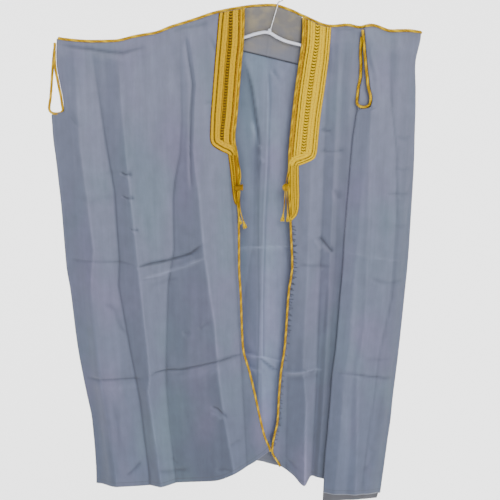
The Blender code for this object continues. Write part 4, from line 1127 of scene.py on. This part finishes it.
def sewEdgeCords():
    lift = cordShape["edgeRadius"] * 0.62
    top = leftPoints[0][:-1]
    middle = (top[:, 1] + backDepth(top[:, 0], top[:, 2])) / 2
    overLeft = np.stack([top[:, 0], middle, top[:, 2]], axis=1)
    place = np.linspace(-0.074, 0.092, 64)
    neck = np.stack([place, backDepth(place, topZ(place)) + 0.0014, topZ(place)], axis=1)
    place = np.linspace(float(outlineX("rightEdge", np.array([-0.08]))[0]), 0.388, 110)
    middle = (frontDepth(place, topZ(place)) + backDepth(place, topZ(place))) / 2
    overRight = np.stack([place, middle, topZ(place)], axis=1)
    flapTop = [point for point in backPoints[0] if point[1] < -turnHalf]
    overFlap = np.array([(x, y + seamHalf, z) for x, y, z in flapTop[:-1]])
    routes = {
        "shoulder_cord_left": above(overLeft[::-1], lift),
        "neck_cord": above(neck, lift),
        "shoulder_cord_right": np.concatenate([above(overRight, lift), above(overFlap, lift)]),
        "front_cord_left": besideEdge(leftPoints[:, 0], leftPoints[:, 3], cordShape["frontRadius"] * 0.7),
        "front_cord_right": besideEdge(rightPoints[:, 0], rightPoints[:, 3], cordShape["frontRadius"] * 0.7),
    }
    for node, route in routes.items():
        front = node.startswith("front")
        radius = cordShape["frontRadius"] if front else cordShape["edgeRadius"]
        route = softened(evenRoute(route, 0.004), 3)
        piece = tubeMesh(node + "Thread", strands(route, radius, 2,
                                                  cordShape["frontPitch" if front else "pitch"], 7))
        dress(piece, goldCord, "cord", node)
    return routes


edgeRoutes = sewEdgeCords()
print("edge cords sewn")

handTurn = ((0.03, 8.0), (0.22, 1.5), (0.5, 0.0), (0.78, 1.5), (0.97, 7.0), (1.02, 16.0))


def sewHandCord(node, strandLine, strandDepth, sideLine, sideDepth, top, slitEnd):
    lift = cordShape["edgeRadius"] + gap
    clear = clothWall / 2 + lift + 0.0003
    route = []
    for z in np.linspace(top, slitEnd + 0.030, 16):
        x = strandLine(np.array([z])) - lift
        y = min(strandDepth(x + lift, np.array([z]))[0], sideDepth(x + 0.004, np.array([z]))[0] - clear)
        route.append((float(x[0]), float(y), z))
    first = float(strandLine(np.array([slitEnd + 0.022]))[0]) - lift
    last = float(sideLine(np.array([slitEnd + 0.022]))[0]) - lift
    for share, height in handTurn:
        x = np.array([first + (last - first) * share])
        z = np.array([slitEnd + lift + 0.0004 + height * mm])
        route.append((float(x[0]), float(sideDepth(x + 0.004, z)[0] - clear), float(z[0])))
    for z in np.linspace(slitEnd + 0.045, top - 0.018, 12):
        x = sideLine(np.array([z])) - lift
        route.append((float(x[0]), float(sideDepth(x + lift, np.array([z]))[0]), z))
    route = softened(smoothRoute(route, 0.003), 2)
    piece = tubeMesh(node + "Thread", strands(route, cordShape["edgeRadius"] * 0.95, 2, cordShape["pitch"],
                                              7))
    dress(piece, goldCord, "cord", node)


sewHandCord("hand_cord_left", leftStrand, frontDepth, lineOf("leftSide"), backDepth, -0.146, -0.3385)
sewHandCord("hand_cord_right", rightStrand, turnedBackDepth, flapInnerStrand, turnedFrontDepth, -0.112,
            -0.3175)
print("hand opening cords sewn")

# Gold braid: its outer outline as (x, z) in millimetres, then its zones from the outer edge to the front
# edge as share, thickness in millimetres and colour
light, mid, deep = goldLook["light"], goldLook["mid"], goldLook["deep"]
brown, olive, orange = goldLook["brown"], goldLook["olive"], goldLook["orange"]
braids = {
    "band_left": {
        "edge": "leftEdge", "width": 68, "top": None, "bottom": -446, "wrap": 0.40, "centre": (0.485, 0.605),
        "pitch": 0.0074,
        "slant": 5.0, "bare": -0.45, "gain": (1.2, 1.2, 0.3),
        "outer": ((-134, -60), (-137, -86), (-143, -150), (-147, -189), (-154, -267), (-160, -334),
                  (-163, -389),
                  (-162.5, -404), (-160, -413), (-155, -420), (-143, -429), (-128, -437), (-117, -442),
                  (-113, -446)),
        "zones": ((0.0, 1.1, brown), (0.045, 2.0, light), (0.145, 0.9, brown), (0.20, 1.7, mid),
                  (0.225, 1.8, light),
                  (0.295, 1.5, mid), (0.31, 1.8, light), (0.395, 1.2, deep), (0.43, 1.7, mid),
                  (0.465, 1.1, brown),
                  (0.485, 2.0, mid), (0.605, 1.1, brown), (0.625, 1.8, light), (0.72, 1.5, mid),
                  (0.735, 1.8, light),
                  (0.83, 0.9, brown), (0.87, 1.6, orange), (0.91, 1.9, mid), (0.935, 2.2, light),
                  (0.985, 1.6, deep)),
    },
    "band_right": {
        "edge": "rightEdge", "width": 72, "top": None, "bottom": -475, "wrap": 0.41,
        "centre": (0.445, 0.585), "pitch": 0.0080,
        "slant": 5.0, "bare": 0.15, "gain": (1.5, 1.62, 0.4),
        "outer": ((164, -90), (162, -104), (157, -189), (148, -267), (139, -334), (136, -370), (133, -416),
                  (131.5, -436),
                  (128.5, -448), (124, -456), (116, -461), (101, -468), (88, -473), (82.5, -475)),
        "zones": ((0.0, 1.5, mid), (0.015, 2.1, light), (0.065, 1.0, olive), (0.095, 1.8, light),
                  (0.155, 0.9, brown),
                  (0.185, 1.5, mid), (0.215, 1.9, light), (0.31, 1.4, mid), (0.325, 1.9, light),
                  (0.42, 1.2, deep),
                  (0.445, 1.9, light), (0.585, 1.2, deep), (0.605, 1.9, light), (0.69, 1.4, mid),
                  (0.705, 1.9, light),
                  (0.775, 1.0, brown), (0.81, 2.0, light), (0.875, 0.9, brown), (0.92, 1.9, orange),
                  (0.95, 2.2, mid),
                  (0.985, 1.6, deep)),
    },
    "strip_left": {
        "edge": "leftEdge", "width": 22, "top": -446.3, "bottom": -588, "wrap": 0.34, "centre": (0.44, 0.56),
        "pitch": 0.0060,
        "slant": 0.0, "bare": 0.4, "gain": (1.15, 1.15, 0.3),
        "outer": ((-113.5, -447), (-110, -475), (-106.5, -509), (-103, -549), (-100, -571), (-97, -582),
                  (-93, -588)),
        "zones": ((0.0, 1.1, brown), (0.10, 1.7, mid), (0.18, 1.7, light), (0.28, 1.0, deep),
                  (0.34, 1.1, olive),
                  (0.42, 1.2, mid), (0.60, 1.6, light), (0.68, 1.0, brown), (0.76, 1.4, orange),
                  (0.9, 1.6, mid)),
    },
    "strip_right": {
        "edge": "rightEdge", "width": 24, "top": -475.3, "bottom": -633, "wrap": 0.40, "centre": (0.5, 0.6),
        "pitch": 0.0050,
        "slant": 0.0, "bare": 0.5, "gain": (1.45, 1.55, 0.4),
        "outer": ((82, -476), (83, -514), (85, -560), (84.5, -590), (82.5, -606), (79, -617), (74, -624),
                  (68, -630), (64, -633)),
        "zones": ((0.0, 1.5, deep), (0.05, 1.9, light), (0.22, 1.0, olive), (0.30, 1.2, mid),
                  (0.40, 1.3, light),
                  (0.46, 1.2, mid), (0.62, 1.3, light), (0.68, 1.2, mid), (0.80, 1.7, light),
                  (0.90, 1.3, deep)),
    },
}


def distanceTo(path, x, z):
    best = np.full_like(x, 9.0)
    for start, stop in zip(path[:-1], path[1:]):
        run = stop - start
        t = np.clip(((x - start[0]) * run[0] + (z - start[1]) * run[1]) / (run @ run), 0, 1)
        best = np.minimum(best, np.hypot(x - start[0] - run[0] * t, z - start[1] - run[1] * t))
    return best


def sewBraid(node, shape):
    outer = np.array(shape["outer"], float) * mm
    bottom = shape["bottom"] * mm
    broad = node.startswith("band")
    cols = 58 if broad else 22
    highest = shape["top"] * mm if shape["top"] else None
    rows = 270 if broad else 120
    x = np.zeros((rows, cols))
    z = np.zeros((rows, cols))
    for col in range(cols):
        share = col / (cols - 1)
        at = np.full(rows, -0.07)
        heights = np.linspace(0, 1, rows)
        for _ in range(3):
            high = highest if highest is not None else topZ(at) - 0.0008
            z[:, col] = high + (bottom - high) * heights
            edge = outlineX(shape["edge"], z[:, col])
            far = np.interp(-z[:, col], -outer[:, 1], outer[:, 0])
            at = edge + (far - edge) * share
        x[:, col] = at
    width = shape["width"] * mm
    edge = outlineX(shape["edge"], z)
    fromOuter = distanceTo(outer, x, z) / width
    fromInner = np.abs(x - edge) / width
    zone = np.where(fromOuter < shape["wrap"], fromOuter, np.clip(1 - fromInner, shape["wrap"], 1))
    starts = [item[0] for item in shape["zones"]] + [1.0]
    thick = [item[1] for item in shape["zones"]]
    places, values = [], []
    for start, stop, value in zip(starts, starts[1:], thick):
        inset = min(0.006, (stop - start) * 0.3)
        places += [start + inset, (start + stop) / 2, stop - inset]
        values += [value * 0.86, value, value * 0.86]
    relief = np.interp(zone, places, values) * mm
    ribs = np.sin(zone * 300)
    relief += 0.10 * mm * ribs
    centre = shape["centre"]
    off = np.abs(zone - sum(centre) / 2)
    stitch = np.sin(2 * math.pi * (z / shape["pitch"] * -1 + off * shape["slant"]))
    relief += np.where(off < (centre[1] - centre[0]) / 2, -0.35 * mm * np.clip(stitch, -1, 1), 0)
    relief = np.where(fromOuter < 0.015, relief * 0.75, relief)
    back = frontDepth(x, z) - clothWall / 2 - 0.0005
    front = back - relief * (0.72 if not broad else 0.8)
    verts = np.concatenate([np.stack([x, y, z], axis=2).reshape(-1, 3) for y in (front, back)])
    size = rows * cols
    zones = np.concatenate([np.stack([zone, -z], axis=2).reshape(-1, 2)] * 2)
    grid = np.arange(size).reshape(rows, cols)
    quads = np.stack([grid[:-1, :-1], grid[:-1, 1:], grid[1:, 1:], grid[1:, :-1]], axis=2).reshape(-1, 4)
    rim = np.concatenate([grid[0, :], grid[1:, -1], grid[-1, -2::-1], grid[-2:0:-1, 0]])
    ring = np.stack([rim, np.roll(rim, -1), np.roll(rim, -1) + size, rim + size], axis=1)
    faces = np.concatenate([quads, quads[:, ::-1] + size, ring[:, ::-1]])
    mesh = bpy.data.meshes.new(node + "Relief")
    mesh.from_pydata([tuple(v) for v in toWorld(verts)], [], faces.tolist())
    ends = np.empty(len(mesh.loops), int)
    mesh.loops.foreach_get("vertex_index", ends)
    mesh.uv_layers.new(name="zoneMap").data.foreach_set("uv", zones[ends].ravel())
    turned = bmesh.new()
    turned.from_mesh(mesh)
    bmesh.ops.recalc_face_normals(turned, faces=turned.faces)
    turned.to_mesh(mesh)
    turned.free()
    mesh.shade_smooth()
    dress(putIn(node + "Relief", mesh), braidMaterial(node + "Gold", shape), "braid", node)


for node, shape in braids.items():
    sewBraid(node, shape)
print("braids sewn")

ties = {
    "left": {
        "cord": ((-0.0980, -0.418), (-0.0930, -0.437), (-0.0865, -0.459), (-0.0810, -0.484),
                 (-0.0790, -0.508)),
        "ball": (-0.0835, -0.5345), "barrel": True,
        "tails": (((-0.0855, -0.5462), (-0.0890, -0.572), (-0.0870, -0.600), (-0.0835, -0.622)),
                  ((-0.0800, -0.5462), (-0.0820, -0.572), (-0.0800, -0.602), (-0.0715, -0.634))),
        "edge": "front_cord_left",
    },
    "right": {
        "cord": ((0.0560, -0.472), (0.0530, -0.490), (0.0495, -0.508), (0.0475, -0.520)),
        "ball": (0.0470, -0.5340), "barrel": False,
        "tails": (((0.0450, -0.5462), (0.0435, -0.575), (0.0420, -0.597), (0.0402, -0.613)),
                  ((0.0495, -0.5462), (0.0505, -0.575), (0.0518, -0.597), (0.0530, -0.613))),
        "edge": "front_cord_right",
    },
}
tieShape = {"radius": 0.0017, "ball": 0.0105, "tuft": 0.020, "count": 48, "spread": 0.0060}


def tieDepth(route, z, radius):
    order = np.argsort(route[:, 2])
    return np.interp(z, route[order, 2], route[order, 1]) - cordShape["frontRadius"] - gap - radius


def declareCord(route):
    path = [tuple(point) for point in toWorld(route)]


def makeTie(label, tie):
    edge = np.array(edgeRoutes[tie["edge"]])
    radius = tieShape["radius"]
    ballX, ballZ = tie["ball"]
    ballY = float(tieDepth(edge, ballZ, tieShape["ball"]))
    over = ballZ + tieShape["ball"] * (0.55 if tie["barrel"] else 0.95)
    flat = [(x, float(tieDepth(edge, z, radius)) - 0.0006, z) for x, z in tie["cord"]]
    route = smoothRoute(flat + [(ballX, ballY, over)], 0.003)
    cord = tubeMesh("tieCord" + label, strands(route, radius, 2, 0.008, 6))
    dress(cord, goldCord, "cord", "tie_cord_" + label)
    # the ball: windings of thread round a round or barrel-shaped core
    turns = []
    count = 9
    reach = tieShape["ball"]
    for index in range(count):
        if tie["barrel"]:
            at = -0.92 * reach + 1.84 * reach * index / (count - 1)
            size = reach * 0.72 * (1.0 if abs(at) > 0.7 * reach else 0.86)
            angles = np.linspace(0, 2 * math.pi, 25)
            ring = np.stack([np.full(25, at), size * np.cos(angles), size * np.sin(angles) + 0.08 * at],
                            axis=1)
        else:
            lean = math.pi * index / count
            angles = np.linspace(0, 2 * math.pi, 33)
            level = np.cos(angles)
            ring = np.stack([level * math.cos(lean), level * math.sin(lean), np.sin(angles)],
                            axis=1) * reach * 0.84
        turns.append((ring + np.array([ballX, ballY, ballZ]), 0.0020, 6))
    core = np.stack([np.zeros(9), np.zeros(9), np.linspace(-0.93, 0.93, 9)], axis=1) * reach * 0.9
    if tie["barrel"]:
        core = core[:, [2, 1, 0]]
    radii = reach * 0.9 * np.sqrt(np.clip(1 - np.linspace(-0.93, 0.93, 9) ** 2, 0, 1))
    if tie["barrel"]:
        radii = np.full(9, reach * 0.62)
    turns.append((core + np.array([ballX, ballY, ballZ]), radii, 16))
    ball = tubeMesh("tieBall" + label, turns)
    dress(ball, knotGold, "cord", "tie_ball_" + label)
    declareCord(route)
    for letter, tail in zip("ab", tie["tails"]):
        start = (ballX + (-0.0022 if letter == "a" else 0.0022), ballY, ballZ - tieShape["ball"] * 0.75)
        over = 0.0012 if letter == "b" else 0
        flat = [start] + [(x, float(tieDepth(edge, z, 0.004)) - over, z) for x, z in tail[1:]]
        route = smoothRoute(flat, 0.003)
        piece = tubeMesh("tieTail" + label + letter, strands(route, radius, 2, 0.007, 6))
        dress(piece, goldCord, "cord", "tie_tail_" + label + "_" + letter)
        tuft = makeTuft(label, letter, route[-1], unit(route[-1] - route[-3]))
        declareCord(route)


goldenAngle = 2.399963  # spreads the strands of a tuft evenly


def makeTuft(label, letter, place, heading):
    side = unit(np.cross(heading, [0, 1.0, 0]))
    other = np.cross(heading, side)
    tubes = []
    for index in range(tieShape["count"]):
        angle = goldenAngle * index
        share = math.sqrt((index + 0.5) / tieShape["count"])
        out = side * math.cos(angle) + other * math.sin(angle)
        length = tieShape["tuft"] * (0.80 + 0.2 * math.sin(1.7 * index + len(label)))
        start = place + out * 0.0017 * share
        bend = place + out * tieShape["spread"] * 0.55 * share + heading * length * 0.5
        end = place + out * tieShape["spread"] * share + heading * length + np.array([0, 0, -0.001 * share])
        tubes.append((np.array([start, bend, end]), 0.0007, 4))
    tubes += strands(np.stack([place - heading * 0.001, place + heading * 0.0045]), 0.0027, 3, 0.004, 6)
    core = np.stack([place + heading * at for at in (-0.002, 0.002, 0.006)])
    tubes.append((core, (0.0018, 0.0024, 0.0020), 10))
    piece = tubeMesh("tieTuft" + label + letter, tubes)
    dress(piece, knotGold, "cord", "tie_tuft_" + label + "_" + letter)
    return piece


for label, tie in ties.items():
    makeTie(label, tie)
print("ties made")

hanger = {
    "arms": ((-0.212, -0.168), (-0.140, -0.150), (-0.070, -0.132), (-0.038, -0.1225), (-0.006, -0.1185),
             (0.021, -0.132),
             (0.045, -0.142), (0.083, -0.1515), (0.140, -0.168), (0.188, -0.183)),
    "radius": 0.0042, "wire": 0.0018, "bend": 0.020, "low": (0.0, -0.1150),
    "collar": ((-0.0015, 0, -0.1235), (-0.001, 0, -0.1120), (-0.0005, 0, -0.1095)),
    "collarRadii": (0.0052, 0.0046, 0.0028), "armColour": (0.40, 0.41, 0.47),
    "hookColour": (0.55, 0.55, 0.57),
}


def makeHanger():
    arms = smoothRoute([(x, 0.0, z) for x, z in hanger["arms"]], 0.004)
    collar = (hanger["collar"], hanger["collarRadii"], 20)
    piece = tubeMesh("hangerArms", [(arms, hanger["radius"], 20), collar])
    plastic = simpleMaterial("whitePlastic", hanger["armColour"], 0.35, grain=14, change=0.10)
    dress(piece, plastic, "plastic", "hanger_arms")
    reach = hanger["bend"] + hanger["wire"]
    route = [(hanger["low"][0], 0.0, hanger["low"][1])]
    for angle in np.radians(np.linspace(-80, 195, 40)):
        route.append((-neckShift + reach * math.cos(angle), 0.0, -hanger["bend"] + reach * math.sin(angle)))
    hook = tubeMesh("hangerHook", [(evenRoute(route, 0.0025), hanger["wire"], 14)])
    steel = simpleMaterial("hookSteel", hanger["hookColour"], 0.25, 1.0, grain=90, change=0.1)
    dress(hook, steel, "steel", "hanger_hook")


makeHanger()


# Runs of stitches down the right front edge: from, to and step
stitchRuns = ((-0.650, -0.985, -0.0088), (-1.01, -1.10, -0.019), (-1.12, -1.36, -0.0098))


def sewStitches():
    # short dark stitches beside the right front edge, and the turned seam of the neck facing
    tubes = []
    heights = np.concatenate([np.arange(*run) for run in stitchRuns])
    for index, z in enumerate(heights):
        z += 0.0028 * math.sin(index * 2.9)
        reach = (6.5 + 3.0 * math.sin(index * 2.3) + (2.5 if z > -1 else 0)) * mm
        start = float(outlineX("rightEdge", np.array([z]))[0]) + 0.0012
        drop = (2.2 + 1.8 * math.sin(index * 1.7)) * mm
        line = []
        for share in (0, 0.5, 1):
            x, low = start + reach * share, z - drop * share
            y = float(frontDepth(np.array([x]), np.array([low]))[0]) - clothWall / 2 - 0.0002
            line.append((x, y - 0.0005 * (1 - abs(2 * share - 1)), low))
        tubes.append((np.array(line), 0.0008, 6))
    dark = simpleMaterial("darkThread", (0.016, 0.018, 0.026), 0.8)
    piece = tubeMesh("frontStitches", tubes)
    dress(piece, dark, "cloth")
    seam = tubeMesh("facingSeam", [(softened(facingSeam, 2), 0.0010, 8)])
    dress(seam, dark, "facing")


sewStitches()
print("hanger and stitches made")

studio = {
    "floor": -3.6, "floorSize": 700, "floorColour": (0.94, 0.94, 0.94), "world": (1.0, 1.0, 1.0),
    "worldStrength": 0.85,
    "sunPlace": (1.8, -1.6, 1.6), "fillTarget": (-0.07, 0, -0.75),
    "suns": {"key": {"azimuth": 20, "height": 34, "strength": 4.7, "angle": 32},
             "behind": {"azimuth": 196, "height": 58, "strength": 6.2, "angle": 40}},
    "fill": {"place": (-2.4, -2.6, 0.3), "size": 2.6, "power": 12},
}


def makeStudio():
    bpy.ops.object.select_all(action="DESELECT")
    bpy.ops.mesh.primitive_plane_add(size=studio["floorSize"], location=(0, 0, studio["floor"]))
    floor = bpy.context.object
    floor.name = "floor"
    bpy.ops.object.transform_apply(location=True)
    floor.data.materials.append(simpleMaterial("paleFloor", studio["floorColour"], 0.9, grain=0.4,
                                               change=0.02))
    world = bpy.data.worlds.new("studio")
    world.use_nodes = True
    world.node_tree.nodes["Background"].inputs[0].default_value = (*studio["world"], 1)
    world.node_tree.nodes["Background"].inputs[1].default_value = studio["worldStrength"]
    bpy.context.scene.world = world
    for name, sun in studio["suns"].items():
        data = bpy.data.lights.new(name, "SUN")
        data.energy = sun["strength"]
        data.angle = math.radians(sun["angle"])
        lamp = putIn(name, data)
        lamp.location = studio["sunPlace"]
        lamp.rotation_euler = (math.radians(90 - sun["height"]), 0, math.radians(sun["azimuth"]))
    fill = studio["fill"]
    data = bpy.data.lights.new("fill", "AREA")
    data.size = fill["size"]
    data.energy = fill["power"]
    lamp = putIn("fill", data)
    lamp.location = fill["place"]
    towards = Vector(studio["fillTarget"]) - lamp.location
    lamp.rotation_euler = towards.to_track_quat("-Z", "Y").to_euler()


makeStudio()
